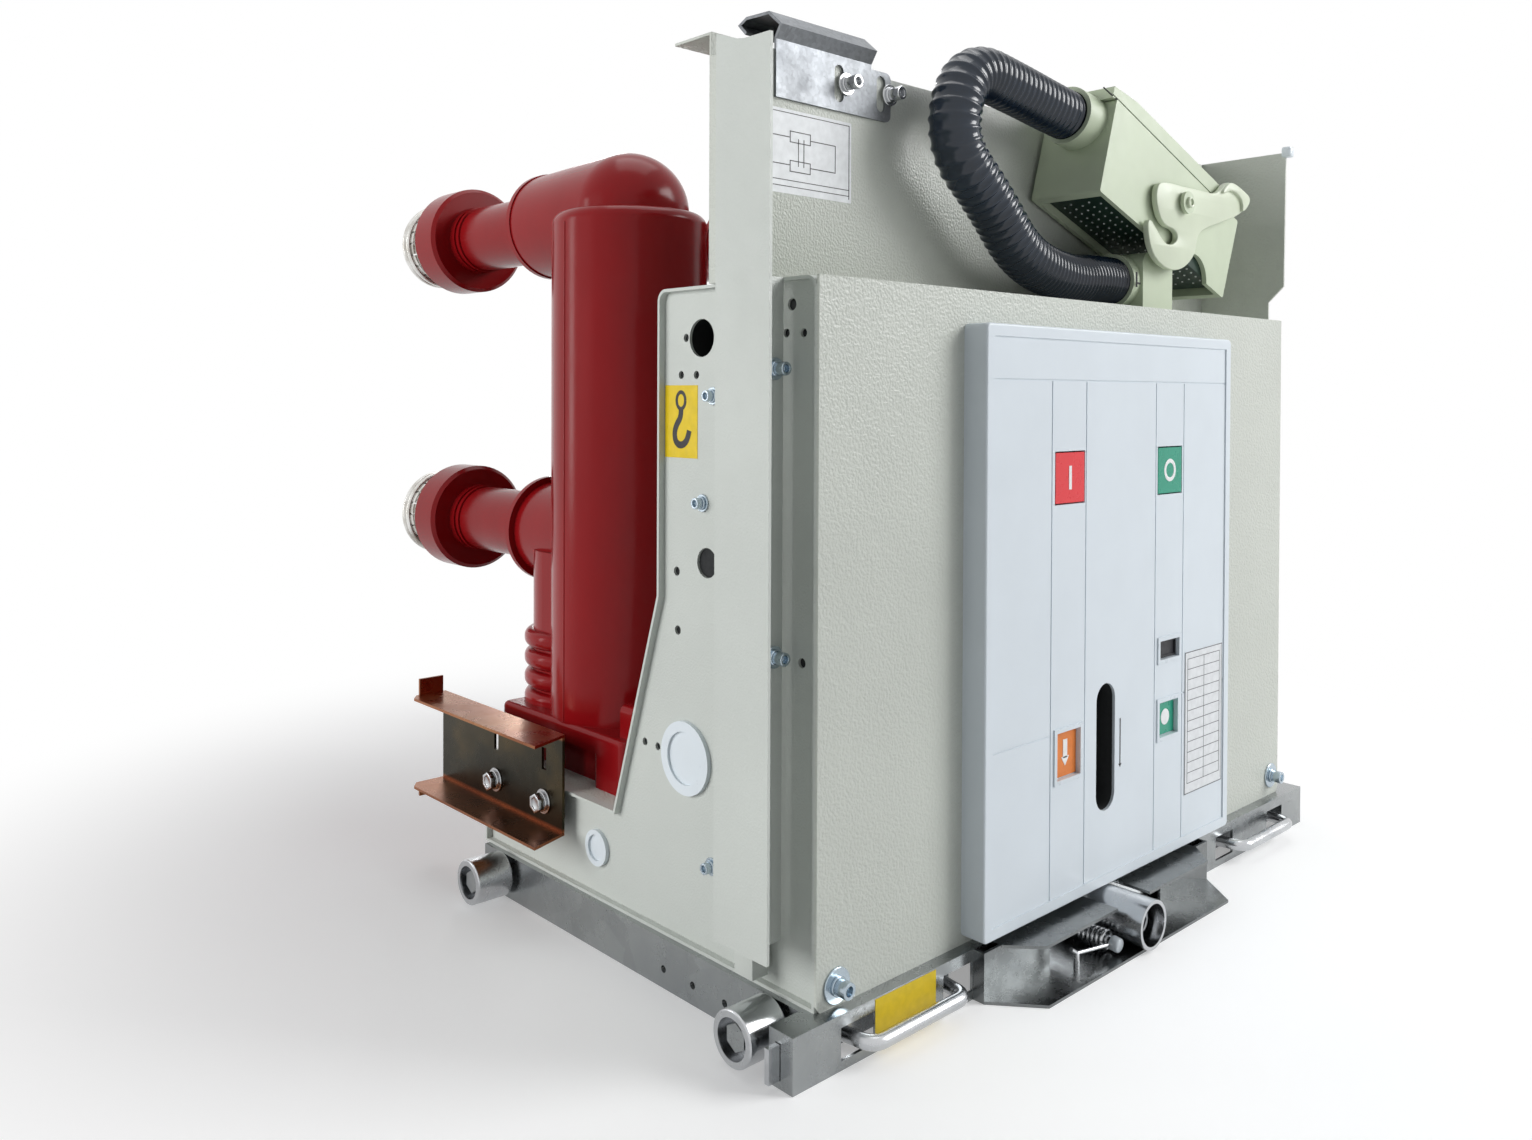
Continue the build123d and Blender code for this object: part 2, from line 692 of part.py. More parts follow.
# Plug housing, open below around its pins, with a lid, a collar for the hose and the lever's pivot.
plug_pts = [(34, 537.5), (57.3, 611), (202, 557.5), (255.7, 537), (229, 468)]
plug = xz_solid(plug_pts, d_plug, d_plug + plug_t)
plug = fillet(plug.edges().filter_by(Axis.Y), 2)
plug_low = plug_pts[0]
low_run = math.hypot(plug_pts[4][0] - plug_low[0], plug_pts[4][1] - plug_low[1])
along = ((plug_pts[4][0] - plug_low[0]) / low_run, (plug_pts[4][1] - plug_low[1]) / low_run)


def on_plug(s, t):
    """Point s along the plug's lower edge and t up from it."""
    return (plug_low[0] + along[0] * s - along[1] * t, plug_low[1] + along[1] * s + along[0] * t)


mouth_end = low_run - 8
mouth = [on_plug(8, -4), on_plug(mouth_end, -4), on_plug(mouth_end, 26), on_plug(8, 26)]
plug -= xz_solid(mouth, d_plug + plug_wall, d_plug + plug_t - plug_wall)
arch = on_plug(low_run - 52, -6)
plug -= cyl_y(22, d_plug - 1, d_plug + plug_wall + 1, arch[0], arch[1])
lid_pts = [(51, 611), (54, 620), (87, 613), (230, 561.5), (228, 548), (202, 557.5), (57.3, 611)]
plug += xz_solid(lid_pts, d_plug, d_plug + plug_t)
seam_pts = [(40, 616), (57.3, 610.4), (202, 557.1), (232, 545), (232, 545 + seam), (202, 557.1 + seam)]
seam_pts += [(57.3, 610.4 + seam), (40, 616 + seam)]
plug -= xz_solid(seam_pts, d_plug - 1, d_plug + seam)
pins = []
for i in range(8):
    for j in range(3):
        pin_x, pin_z = on_plug(40 + 15 * i, 12)
        pins.append(cyl_z(1.3, pin_z, pin_z + 18, pin_x, d_plug + 16 + 14 * j))
plug += pins
hose_dir = hose_line % 1
hose_end = hose_line @ 1
collar = Plane(origin=hose_end - hose_dir * 12, z_dir=hose_dir) * Circle(hose_r + 3.5)
plug += extrude(collar, 26)
hole = Plane(origin=hose_end - hose_dir * 13, z_dir=hose_dir) * Circle(hose_r + pin_gap)
plug -= extrude(hole, 13)
d_cam1 = d_plug - cam_gap
d_cam0 = d_cam1 - cam_t
plug += cyl_y(pivot_r, d_cam0 - cam_gap, d_plug + 1, pivot_x, pivot_z)
plug += cyl_y(pivot_r + 3, d_cam0 - cam_gap - 3, d_cam0 - cam_gap, pivot_x, pivot_z)
lug_x = hook_x0 + 8
plug += block(lug_x, lug_x + 40, d_plug + plug_t - 6, d_hook, hook_z0 - 40, hook_z0 + 2)
save(plug, "plug_body")

# Cam lever: a lobed cheek with a hooked slot, and an arm that ends in a knob over the plug's end.
lobe = [(-42, 10), (-34, 14), (34, 14), (55, 22), (77, 27), (104, 26), (113, 18), (111, 6), (96, -2)]
lobe += [(28, -20), (14, -40), (4, -51), (-16, -56), (-35, -52), (-50, -38), (-53, -20)]
cam = xz_solid([(pivot_x + x, pivot_z + z) for x, z in lobe], d_cam0, d_cam1)
cam = fillet(cam.edges().filter_by(Axis.Y), 5)
knob_pts = [(97, 8), (94, 24), (106, 25), (112, 17), (110, 9)]
knob = xz_solid([(pivot_x + x, pivot_z + z) for x, z in knob_pts], d_cam0, d_cam0 + knob_depth)
cam += fillet(knob.edges().filter_by(Axis.Y), 2)
track = ThreePointArc(
    (pivot_x - 62, y_cover + d_cam0, pivot_z - 2),
    (pivot_x - 42, y_cover + d_cam0, pivot_z - 22),
    (pivot_x - 16, y_cover + d_cam0, pivot_z - 29),
)
groove = sweep(Plane(origin=track @ 0, z_dir=track % 0) * Rectangle(8, 4 * cam_t), path=track)
groove += cyl_y(4, d_cam0 - 9, d_cam1 + 9, pivot_x - 16, pivot_z - 29)
cam -= groove
cam -= cyl_y(pivot_r + pin_gap, d_cam0 - 1, d_cam1 + 1, pivot_x, pivot_z)
save(cam, "plug_lever")
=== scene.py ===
"""Dressed model of a withdrawable vacuum circuit breaker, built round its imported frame."""

from __future__ import annotations

import logging
import math
from dataclasses import dataclass
from enum import Enum

import bpy
from mathutils import Matrix, Vector

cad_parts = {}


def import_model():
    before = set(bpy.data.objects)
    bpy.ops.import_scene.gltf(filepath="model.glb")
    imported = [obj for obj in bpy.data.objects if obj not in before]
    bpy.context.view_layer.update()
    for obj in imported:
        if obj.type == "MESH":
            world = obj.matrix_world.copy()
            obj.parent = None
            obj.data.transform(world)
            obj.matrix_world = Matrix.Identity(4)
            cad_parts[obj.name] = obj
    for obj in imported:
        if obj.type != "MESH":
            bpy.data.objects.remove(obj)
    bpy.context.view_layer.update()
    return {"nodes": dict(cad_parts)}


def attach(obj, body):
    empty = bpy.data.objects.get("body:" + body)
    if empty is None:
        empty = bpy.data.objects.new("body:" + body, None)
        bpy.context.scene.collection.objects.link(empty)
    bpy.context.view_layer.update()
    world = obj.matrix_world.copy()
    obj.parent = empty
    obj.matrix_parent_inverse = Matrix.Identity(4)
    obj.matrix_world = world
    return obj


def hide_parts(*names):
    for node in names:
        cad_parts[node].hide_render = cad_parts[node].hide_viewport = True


LOG = logging.getLogger("breaker")
MM = 0.001  # metres in a millimetre
Y_COVER = -0.272  # Y of the front cover's plane, in metres
BODY = "breaker"  # the body that stands still
SIDES = (("left", -1), ("right", 1))  # name of each side and the sign of its X
SKIN = 0.25  # thickness of print, film and the painted shade discs in holes, in millimetres

Pair = tuple[float, float]
Triple = tuple[float, float, float]
Stops = list[tuple[float, Triple]]
Socket = bpy.types.NodeSocket


class Facing(Enum):
    """Direction that a fastener's head or a flat piece looks to."""

    FRONT = (0.0, -1.0, 0.0)
    BACK = (0.0, 1.0, 0.0)
    LEFT = (-1.0, 0.0, 0.0)
    RIGHT = (1.0, 0.0, 0.0)
    UP = (0.0, 0.0, 1.0)

    @classmethod
    def outward(cls, sign: int) -> Facing:
        """Return the way out on the left (-1) or the right (1)."""
        return cls.LEFT if sign < 0 else cls.RIGHT


def place(x: float, depth: float, z: float) -> Vector:
    """Point in metres from the drawing's own sizes.

    Args:
        x: Distance to the right of the centre plane, in millimetres.
        depth: Distance behind the front cover's plane, in millimetres.
        z: Height above the floor, in millimetres.

    Returns:
        The point in the row frame.
    """
    return Vector((x * MM, Y_COVER + depth * MM, z * MM))


class Bench:
    """Modelling steps that the sub-assemblies share."""

    @staticmethod
    def only(piece: bpy.types.Object) -> None:
        """Select one object and make it active.

        Args:
            piece: The object.
        """
        bpy.ops.object.select_all(action="DESELECT")
        piece.select_set(True)
        bpy.context.view_layer.objects.active = piece

    @staticmethod
    def settle_transform(piece: bpy.types.Object) -> None:
        """Move an object's place, turn and scale into its mesh."""
        Bench.only(piece)
        bpy.ops.object.transform_apply(location=True, rotation=True, scale=True)

    @staticmethod
    def block(name: str, low: Triple, high: Triple) -> bpy.types.Object:
        """Rectangular block between two corners given as (x, depth, z).

        Args:
            name: Name of the new object.
            low: Lowest corner in millimetres.
            high: Highest corner in millimetres.

        Returns:
            The block.
        """
        a, b = place(*low), place(*high)
        bpy.ops.object.select_all(action="DESELECT")
        bpy.ops.mesh.primitive_cube_add(size=1.0, location=(a + b) / 2)
        piece = bpy.context.object
        piece.name = name
        piece.scale = b - a
        Bench.settle_transform(piece)
        return piece

    @staticmethod
    def rod(
        name: str, radius: float, start: Triple, end: Triple, sides: int = 32
    ) -> bpy.types.Object:
        """Round bar between two points given as (x, depth, z).

        Args:
            name: Name of the new object.
            radius: Radius in millimetres.
            start: One end.
            end: The other end.
            sides: Facets round the bar.

        Returns:
            The bar.
        """
        a, b = place(*start), place(*end)
        run = b - a
        bpy.ops.object.select_all(action="DESELECT")
        bpy.ops.mesh.primitive_cylinder_add(
            vertices=sides, radius=radius * MM, depth=run.length, location=(a + b) / 2
        )
        piece = bpy.context.object
        piece.name = name
        piece.rotation_mode = "QUATERNION"
        piece.rotation_quaternion = run.to_track_quat("Z", "Y")
        Bench.settle_transform(piece)
        return piece

    @staticmethod
    def plate(
        name: str,
        outline: list[Pair],
        across: str,
        near: float,
        far: float,
        soft: float = 0.0,
    ) -> bpy.types.Object:
        """Flat plate with a drawn outline.

        Args:
            name: Name of the new object.
            outline: Points (x, z) for a plate across Y, or (depth, z) for one across X.
            across: Axis at a right angle to the plate, "X" or "Y".
            near: Its lower face on that axis, as x or depth in millimetres.
            far: Its upper face on that axis.
            soft: Rounding of the edges in millimetres. Above zero, the outline is drawn as a
                smooth line.

        Returns:
            The plate.
        """
        curve = bpy.data.curves.new(name, "CURVE")
        curve.dimensions = "2D"
        curve.fill_mode = "BOTH"
        curve.extrude = ((far - near) / 2 - soft) * MM
        curve.bevel_depth = soft * MM
        curve.bevel_resolution = 2
        curve.offset = -soft * MM
        spline = curve.splines.new("NURBS" if soft > 0 else "POLY")
        spline.points.add(len(outline) - 1)
        for knot, (u, v) in zip(spline.points, outline):
            knot.co = (u * MM, v * MM, 0.0, 1.0)
        spline.use_cyclic_u = True
        if soft > 0:
            spline.order_u = 3
            spline.resolution_u = 4
        piece = bpy.data.objects.new(name, curve)
        bpy.context.scene.collection.objects.link(piece)
        Bench.only(piece)
        bpy.ops.object.convert(target="MESH")
        piece = bpy.context.object
        mid = (near + far) / 2
        if across == "Y":
            piece.rotation_euler = (math.pi / 2, 0, 0)
            piece.location = place(0.0, mid, 0.0)
        else:
            piece.rotation_euler = (math.pi / 2, 0, math.pi / 2)
            piece.location = place(mid, 0.0, 0.0)
        Bench.settle_transform(piece)
        return piece

    @staticmethod
    def bevel(
        piece: bpy.types.Object, width: float, segments: int = 2, angle: float = 40.0
    ) -> None:
        """Round the sharp edges of a piece.

        Args:
            piece: Object to change.
            width: Width of the bevel in millimetres.
            segments: Steps across the bevel.
            angle: Least angle of an edge that is bevelled, in degrees.
        """
        Bench.only(piece)
        step = piece.modifiers.new("Edges", "BEVEL")
        step.width = width * MM
        step.segments = segments
        step.limit_method = "ANGLE"
        step.angle_limit = math.radians(angle)
        bpy.ops.object.modifier_apply(modifier=step.name)

    @staticmethod
    def cut(piece: bpy.types.Object, tool: bpy.types.Object) -> None:
        """Take one solid out of another and remove the tool.

        Args:
            piece: Object that keeps its place.
            tool: Solid that is taken away.
        """
        Bench.only(piece)
        step = piece.modifiers.new("Cut", "BOOLEAN")
        step.operation = "DIFFERENCE"
        step.solver = "EXACT"
        step.object = tool
        bpy.ops.object.modifier_apply(modifier=step.name)
        bpy.data.objects.remove(tool)

    @staticmethod
    def sink(piece: bpy.types.Object, facing: Facing, rim: float, depth: float) -> None:
        """Inset the faces that look one way and push them in or out.

        Args:
            piece: Object to change.
            facing: Direction of the faces.
            rim: Width of the rim that stays, in millimetres.
            depth: How far the inner faces move against their direction, in millimetres.
        """
        Bench.only(piece)
        way = Vector(facing.value)
        mesh = piece.data
        for vertex in mesh.vertices:
            vertex.select = False
        for edge in mesh.edges:
            edge.select = False
        for face in mesh.polygons:
            face.select = face.normal.dot(way) > 0.98
        bpy.context.tool_settings.mesh_select_mode = (False, False, True)
        bpy.ops.object.mode_set(mode="EDIT")
        bpy.ops.mesh.inset(thickness=rim * MM, depth=0.0)
        bpy.ops.mesh.extrude_region_move(TRANSFORM_OT_translate={"value": tuple(-way * depth * MM)})
        bpy.ops.object.mode_set(mode="OBJECT")

    @staticmethod
    def join(name: str, parts: list[bpy.types.Object]) -> bpy.types.Object:
        """One object made of several.

        Args:
            name: Name of the result.
            parts: Objects that are joined.

        Returns:
            The joined object.
        """
        bpy.ops.object.select_all(action="DESELECT")
        for part in parts:
            part.select_set(True)
        bpy.context.view_layer.objects.active = parts[0]
        if len(parts) > 1:
            bpy.ops.object.join()
        whole = bpy.context.view_layer.objects.active
        whole.name = name
        whole.data.name = name
        return whole

    @staticmethod
    def copies(
        name: str, pattern: bpy.types.Object, spots: list[tuple[Triple, Facing]]
    ) -> bpy.types.Object:
        """Copies of a piece that was modelled at the origin along +Z, joined in one object.

        Args:
            name: Name of the result.
            pattern: The piece, which is removed afterwards.
            spots: Where each copy stands, as (x, depth, z), and where it looks.

        Returns:
            The joined copies.
        """
        made = []
        for spot, facing in spots:
            twin = pattern.copy()
            twin.data = pattern.data.copy()
            bpy.context.scene.collection.objects.link(twin)
            turn = Vector(facing.value).to_track_quat("Z", "Y").to_matrix().to_4x4()
            twin.data.transform(Matrix.Translation(place(*spot)) @ turn)
            made.append(twin)
        bpy.data.objects.remove(pattern)
        return Bench.join(name, made)

    @staticmethod
    def tidy_mesh(piece: bpy.types.Object, smooth_angle: float = 35.0) -> None:
        """Merge doubles, turn the faces outwards and smooth the round ones.

        Args:
            piece: Object to change.
            smooth_angle: Least angle of an edge that stays sharp, in degrees.
        """
        Bench.only(piece)
        bpy.ops.object.mode_set(mode="EDIT")
        bpy.ops.mesh.select_all(action="SELECT")
        bpy.ops.mesh.remove_doubles(threshold=1e-6)
        bpy.ops.mesh.normals_make_consistent(inside=False)
        bpy.ops.object.mode_set(mode="OBJECT")
        bpy.ops.object.shade_smooth_by_angle(angle=math.radians(smooth_angle))

    @staticmethod
    def hand_over(
        piece: bpy.types.Object,
        material: bpy.types.Material,
        body: str = BODY,
        slot: str | None = None,
        smooth_angle: float = 35.0,
    ) -> bpy.types.Object:
        """Give a finished piece its material and its body.

        Args:
            piece: The finished object.
            material: Its material.
            body: CAD body that it moves with.
            slot: Name of a material slot; not used.
            smooth_angle: Least angle of an edge that stays sharp, in degrees.

        Returns:
            The same object.
        """
        Bench.tidy_mesh(piece, smooth_angle)
        piece.data.materials.clear()
        piece.data.materials.append(material)
        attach(piece, body)
        LOG.info("piece %s on %s, %d faces", piece.name, body, len(piece.data.polygons))
        return piece


class Shader:
    """A material's node tree with one principled surface."""

    def __init__(self, name: str) -> None:
        """Start a material.

        Args:
            name: Name of the material.
        """
        self.material = bpy.data.materials.new(name)
        self.material.use_nodes = True
        self.tree = self.material.node_tree
        self.surface = self.tree.nodes["Principled BSDF"]
        self.coords = self.tree.nodes.new("ShaderNodeTexCoord").outputs["Object"]

    def stretch(self, scale: Triple) -> Socket:
        """Object coordinates, scaled by axis.

        Args:
            scale: Factor for each axis.

        Returns:
            The vector socket.
        """
        mapping = self.tree.nodes.new("ShaderNodeMapping")
        mapping.inputs["Scale"].default_value = scale
        self.tree.links.new(self.coords, mapping.inputs["Vector"])
        return mapping.outputs["Vector"]

    def noise(
        self,
        scale: float,
        detail: float = 3.0,
        rough: float = 0.5,
        vector: Socket | None = None,
    ) -> Socket:
        """Noise over the piece.

        Args:
            scale: Cells per metre.
            detail: Number of octaves.
            rough: Weight of the fine octaves.
            vector: Coordinates, or the object's own.

        Returns:
            The factor socket.
        """
        node = self.tree.nodes.new("ShaderNodeTexNoise")
        node.inputs["Scale"].default_value = scale
        node.inputs["Detail"].default_value = detail
        node.inputs["Roughness"].default_value = rough
        self.tree.links.new(vector or self.coords, node.inputs["Vector"])
        return node.outputs["Fac"]

    def cells(self, scale: float) -> Socket:
        """Crystal-like cells of random tone.

        Args:
            scale: Cells per metre.

        Returns:
            The colour socket.
        """
        node = self.tree.nodes.new("ShaderNodeTexVoronoi")
        node.inputs["Scale"].default_value = scale
        self.tree.links.new(self.coords, node.inputs["Vector"])
        return node.outputs["Color"]

    def spread(
        self,
        source: Socket,
        low: float,
        high: float,
        start: float = 0.3,
        end: float = 0.7,
    ) -> Socket:
        """Map a factor to a range of numbers.

        Args:
            source: The factor.
            low: Result at the start.
            high: Result at the end.
            start: Factor that gives the low result.
            end: Factor that gives the high result.

        Returns:
            The result socket.
        """
        node = self.tree.nodes.new("ShaderNodeMapRange")
        node.inputs["From Min"].default_value = start
        node.inputs["From Max"].default_value = end
        node.inputs["To Min"].default_value = low
        node.inputs["To Max"].default_value = high
        self.tree.links.new(source, node.inputs["Value"])
        return node.outputs["Result"]

    def ramp(self, source: Socket, stops: Stops) -> Socket:
        """Colour ramp.

        Args:
            source: The factor.
            stops: Pairs of place and colour.

        Returns:
            The colour socket.
        """
        node = self.tree.nodes.new("ShaderNodeValToRGB")
        band = node.color_ramp
        while len(band.elements) < len(stops):
            band.elements.new(0.5)
        for element, (spot, colour) in zip(band.elements, stops):
            element.position = spot
            element.color = (*colour, 1.0)
        self.tree.links.new(source, node.inputs["Fac"])
        return node.outputs["Color"]

    def blend(
        self,
        first: Socket,
        second: Socket,
        share: Socket | float,
        kind: str = "MIX",
    ) -> Socket:
        """Mix two colours.

        Args:
            first: Colour at a share of zero.
            second: Colour that is laid over it.
            share: Weight of the second colour.
            kind: Blend type of the mix.

        Returns:
            The colour socket.
        """
        node = self.tree.nodes.new("ShaderNodeMix")
        node.data_type = "RGBA"
        node.blend_type = kind
        factor, under, over = node.inputs[0], node.inputs[6], node.inputs[7]
        if isinstance(share, float):
            factor.default_value = share
        else:
            self.tree.links.new(share, factor)
        self.tree.links.new(first, under)
        self.tree.links.new(second, over)
        return node.outputs[2]

    def colour(self, source: Socket) -> None:
        """Use a socket as the base colour."""
        self.tree.links.new(source, self.surface.inputs["Base Color"])

    def roughness(self, source: Socket) -> None:
        """Use a socket as the roughness."""
        self.tree.links.new(source, self.surface.inputs["Roughness"])

    def bump(self, source: Socket, strength: float, distance: float) -> None:
        """Use a socket as the height of a bump.

        Args:
            source: The height.
            strength: Share of the bump that is used.
            distance: Height in metres.
        """
        node = self.tree.nodes.new("ShaderNodeBump")
        node.inputs["Strength"].default_value = strength
        node.inputs["Distance"].default_value = distance
        self.tree.links.new(source, node.inputs["Height"])
        self.tree.links.new(node.outputs["Normal"], self.surface.inputs["Normal"])

    def set(self, **values: float) -> None:
        """Set sockets of the surface by name, with spaces written as underscores."""
        for key, value in values.items():
            self.surface.inputs[key.replace("_", " ")].default_value = value


def combine(
    tree: bpy.types.NodeTree,
    operation: str,
    first: Socket,
    second: Socket | float = 0.0,
) -> Socket:
    """Join one or two values in a maths node.

    Args:
        tree: Node tree that gets the node.
        operation: Name of the operation.
        first: First value.
        second: Second value, as a socket or a number.

    Returns:
        The value socket.
    """
    node = tree.nodes.new("ShaderNodeMath")
    node.operation = operation
    tree.links.new(first, node.inputs[0])
    if isinstance(second, float):
        node.inputs[1].default_value = second
    else:
        tree.links.new(second, node.inputs[1])
    return node.outputs["Value"]


def shade(colour: Triple, factor: float) -> Triple:
    """The colour, darker or lighter.

    Args:
        colour: Linear colour.
        factor: Factor for each channel.

    Returns:
        The new colour, at most one in each channel.
    """
    return tuple(min(1.0, c * factor) for c in colour)


@dataclass(frozen=True)
class PowderCoat:
    """Textured paint on sheet metal, slightly mottled."""

    name: str
    colour: Triple
    grain: float = 560.0
    relief: float = 0.0011
    gloss: float = 0.34

    def build(self) -> bpy.types.Material:
        """Build the material.

        Returns:
            The material.
        """
        s = Shader(self.name)
        darker, lighter = shade(self.colour, 0.955), shade(self.colour, 1.03)
        s.colour(s.ramp(s.noise(9.0, 4.0), [(0.3, darker), (0.7, lighter)]))
        s.roughness(s.spread(s.noise(70.0), self.gloss - 0.05, self.gloss + 0.07))
        s.bump(s.noise(self.grain, 1.5, 0.4), 0.6, self.relief)
        s.set(Specular_IOR_Level=0.4)
        return s.material


@dataclass(frozen=True)
class Moulding:
    """Moulded plastic with a fine grain and a little unevenness of tone."""

    name: str
    colour: Triple
    gloss: float = 0.38
    relief: float = 0.00008
    mottle: float = 0.04

    def build(self) -> bpy.types.Material:
        """Build the material.

        Returns:
            The material.
        """
        s = Shader(self.name)
        darker, lighter = shade(self.colour, 1 - self.mottle), shade(self.colour, 1 + self.mottle)
        s.colour(s.ramp(s.noise(22.0, 4.0), [(0.3, darker), (0.7, lighter)]))
        s.roughness(s.spread(s.noise(120.0), self.gloss - 0.05, self.gloss + 0.06))
        s.bump(s.noise(1500.0, 2.0), 0.35, self.relief)
        return s.material


@dataclass(frozen=True)
class CastResin:
    """Glossy pigmented resin with slight flow marks."""

    name: str
    colour: Triple

    def build(self) -> bpy.types.Material:
        """Build the material.

        Returns:
            The material.
        """
        s = Shader(self.name)
        flow = s.noise(7.0, 5.0, 0.6, s.stretch((1.0, 1.0, 0.35)))
        darker, lighter = shade(self.colour, 0.82), shade(self.colour, 1.12)
        s.colour(s.ramp(flow, [(0.3, darker), (0.7, lighter)]))
        s.roughness(s.spread(s.noise(55.0, 4.0), 0.16, 0.24))
        s.bump(s.noise(18.0, 2.0), 0.2, 0.0005)
        s.set(Specular_IOR_Level=0.2)
        return s.material


@dataclass(frozen=True)
class ZincCoat:
    """Galvanised or plated steel with crystal cells, clouding and fine scratches."""

    name: str
    colour: Triple
    cell: float = 110.0
    dull: float = 0.34
    contrast: float = 0.1

    def build(self) -> bpy.types.Material:
        """Build the material.

        Returns:
            The material.
        """
        s = Shader(self.name)
        low, high = shade(self.colour, 1 - self.contrast), shade(self.colour, 1 + self.contrast)
        crystals = s.ramp(s.cells(self.cell), [(0.0, low), (1.0, high)])
        cloud = s.ramp(s.noise(16.0, 5.0, 0.6), [(0.3, (0.8, 0.81, 0.83)), (0.7, (1.0, 1.0, 1.0))])
        s.colour(s.blend(crystals, cloud, 0.9, "MULTIPLY"))
        s.roughness(s.spread(s.noise(40.0, 6.0, 0.7), self.dull - 0.1, self.dull + 0.12))
        s.bump(s.noise(900.0, 2.0, 0.6, s.stretch((0.15, 0.15, 1.0))), 0.3, 0.00006)
        s.set(Metallic=1.0)
        return s.material


@dataclass(frozen=True)
class PassivationAndPaintedShade:
    """Yellow passivation on zinc, copper brown on the flanges, with painted shade that makes the
    web near-black olive.
    """

    name: str
    middle: float = 0.104
    half: float = 0.0335
    edge: float = 0.0025

    def build(self) -> bpy.types.Material:
        """Build the material.

        Returns:
            The material.
        """
        s = Shader(self.name)
        cloud = s.noise(13.0, 4.0, 0.55, s.stretch((1.0, 1.0, 1.6)))
        # Painted shade: the web's near-black olive stands for the shade on it; the flanges keep the
        # finish's copper brown.
        painted_web_shade = [
            (0.3, (0.012, 0.012, 0.008)),
            (0.52, (0.035, 0.03, 0.018)),
            (0.7, (0.07, 0.05, 0.022)),
        ]
        copper = [
            (0.3, (0.24, 0.08, 0.034)),
            (0.5, (0.34, 0.13, 0.055)),
            (0.72, (0.37, 0.18, 0.075)),
        ]
        web, flange = s.ramp(cloud, painted_web_shade), s.ramp(cloud, copper)
        split = s.tree.nodes.new("ShaderNodeSeparateXYZ")
        s.tree.links.new(s.coords, split.inputs[0])
        height = combine(s.tree, "SUBTRACT", split.outputs["Z"], self.middle)
        away = combine(s.tree, "ABSOLUTE", height)
        share = s.spread(away, 0.0, 1.0, self.half - self.edge, self.half)
        s.colour(s.blend(web, flange, share))
        s.roughness(s.spread(s.noise(60.0, 4.0), 0.22, 0.36))
        s.bump(s.noise(700.0, 2.0), 0.25, 0.00006)
        s.set(Metallic=1.0)
        return s.material


@dataclass(frozen=True)
class SilverPlate:
    """Silver plated copper with a warm tarnish in patches."""

    name: str

    def build(self) -> bpy.types.Material:
        """Build the material.

        Returns:
            The material.
        """
        s = Shader(self.name)
        stain = s.noise(45.0, 5.0, 0.6)
        tarnish = [
            (0.3, (0.36, 0.32, 0.27)),
            (0.55, (0.72, 0.71, 0.68)),
            (0.8, (0.85, 0.85, 0.84)),
        ]
        s.colour(s.ramp(stain, tarnish))
        s.roughness(s.spread(s.noise(160.0, 4.0), 0.22, 0.42))
        s.bump(s.noise(1200.0, 2.0), 0.3, 0.00005)
        s.set(Metallic=1.0)
        return s.material


@dataclass(frozen=True)
class PrintInk:
    """Printed or painted film, a little uneven."""

    name: str
    colour: Triple
    gloss: float = 0.45

    def build(self) -> bpy.types.Material:
        """Build the material.

        Returns:
            The material.
        """
        s = Shader(self.name)
        darker, lighter = shade(self.colour, 0.92), shade(self.colour, 1.05)
        s.colour(s.ramp(s.noise(180.0), [(0.3, darker), (0.7, lighter)]))
        s.roughness(s.spread(s.noise(240.0), self.gloss - 0.06, self.gloss + 0.08))
        s.bump(s.noise(500.0, 2.0), 0.15, 0.00004)
        return s.material


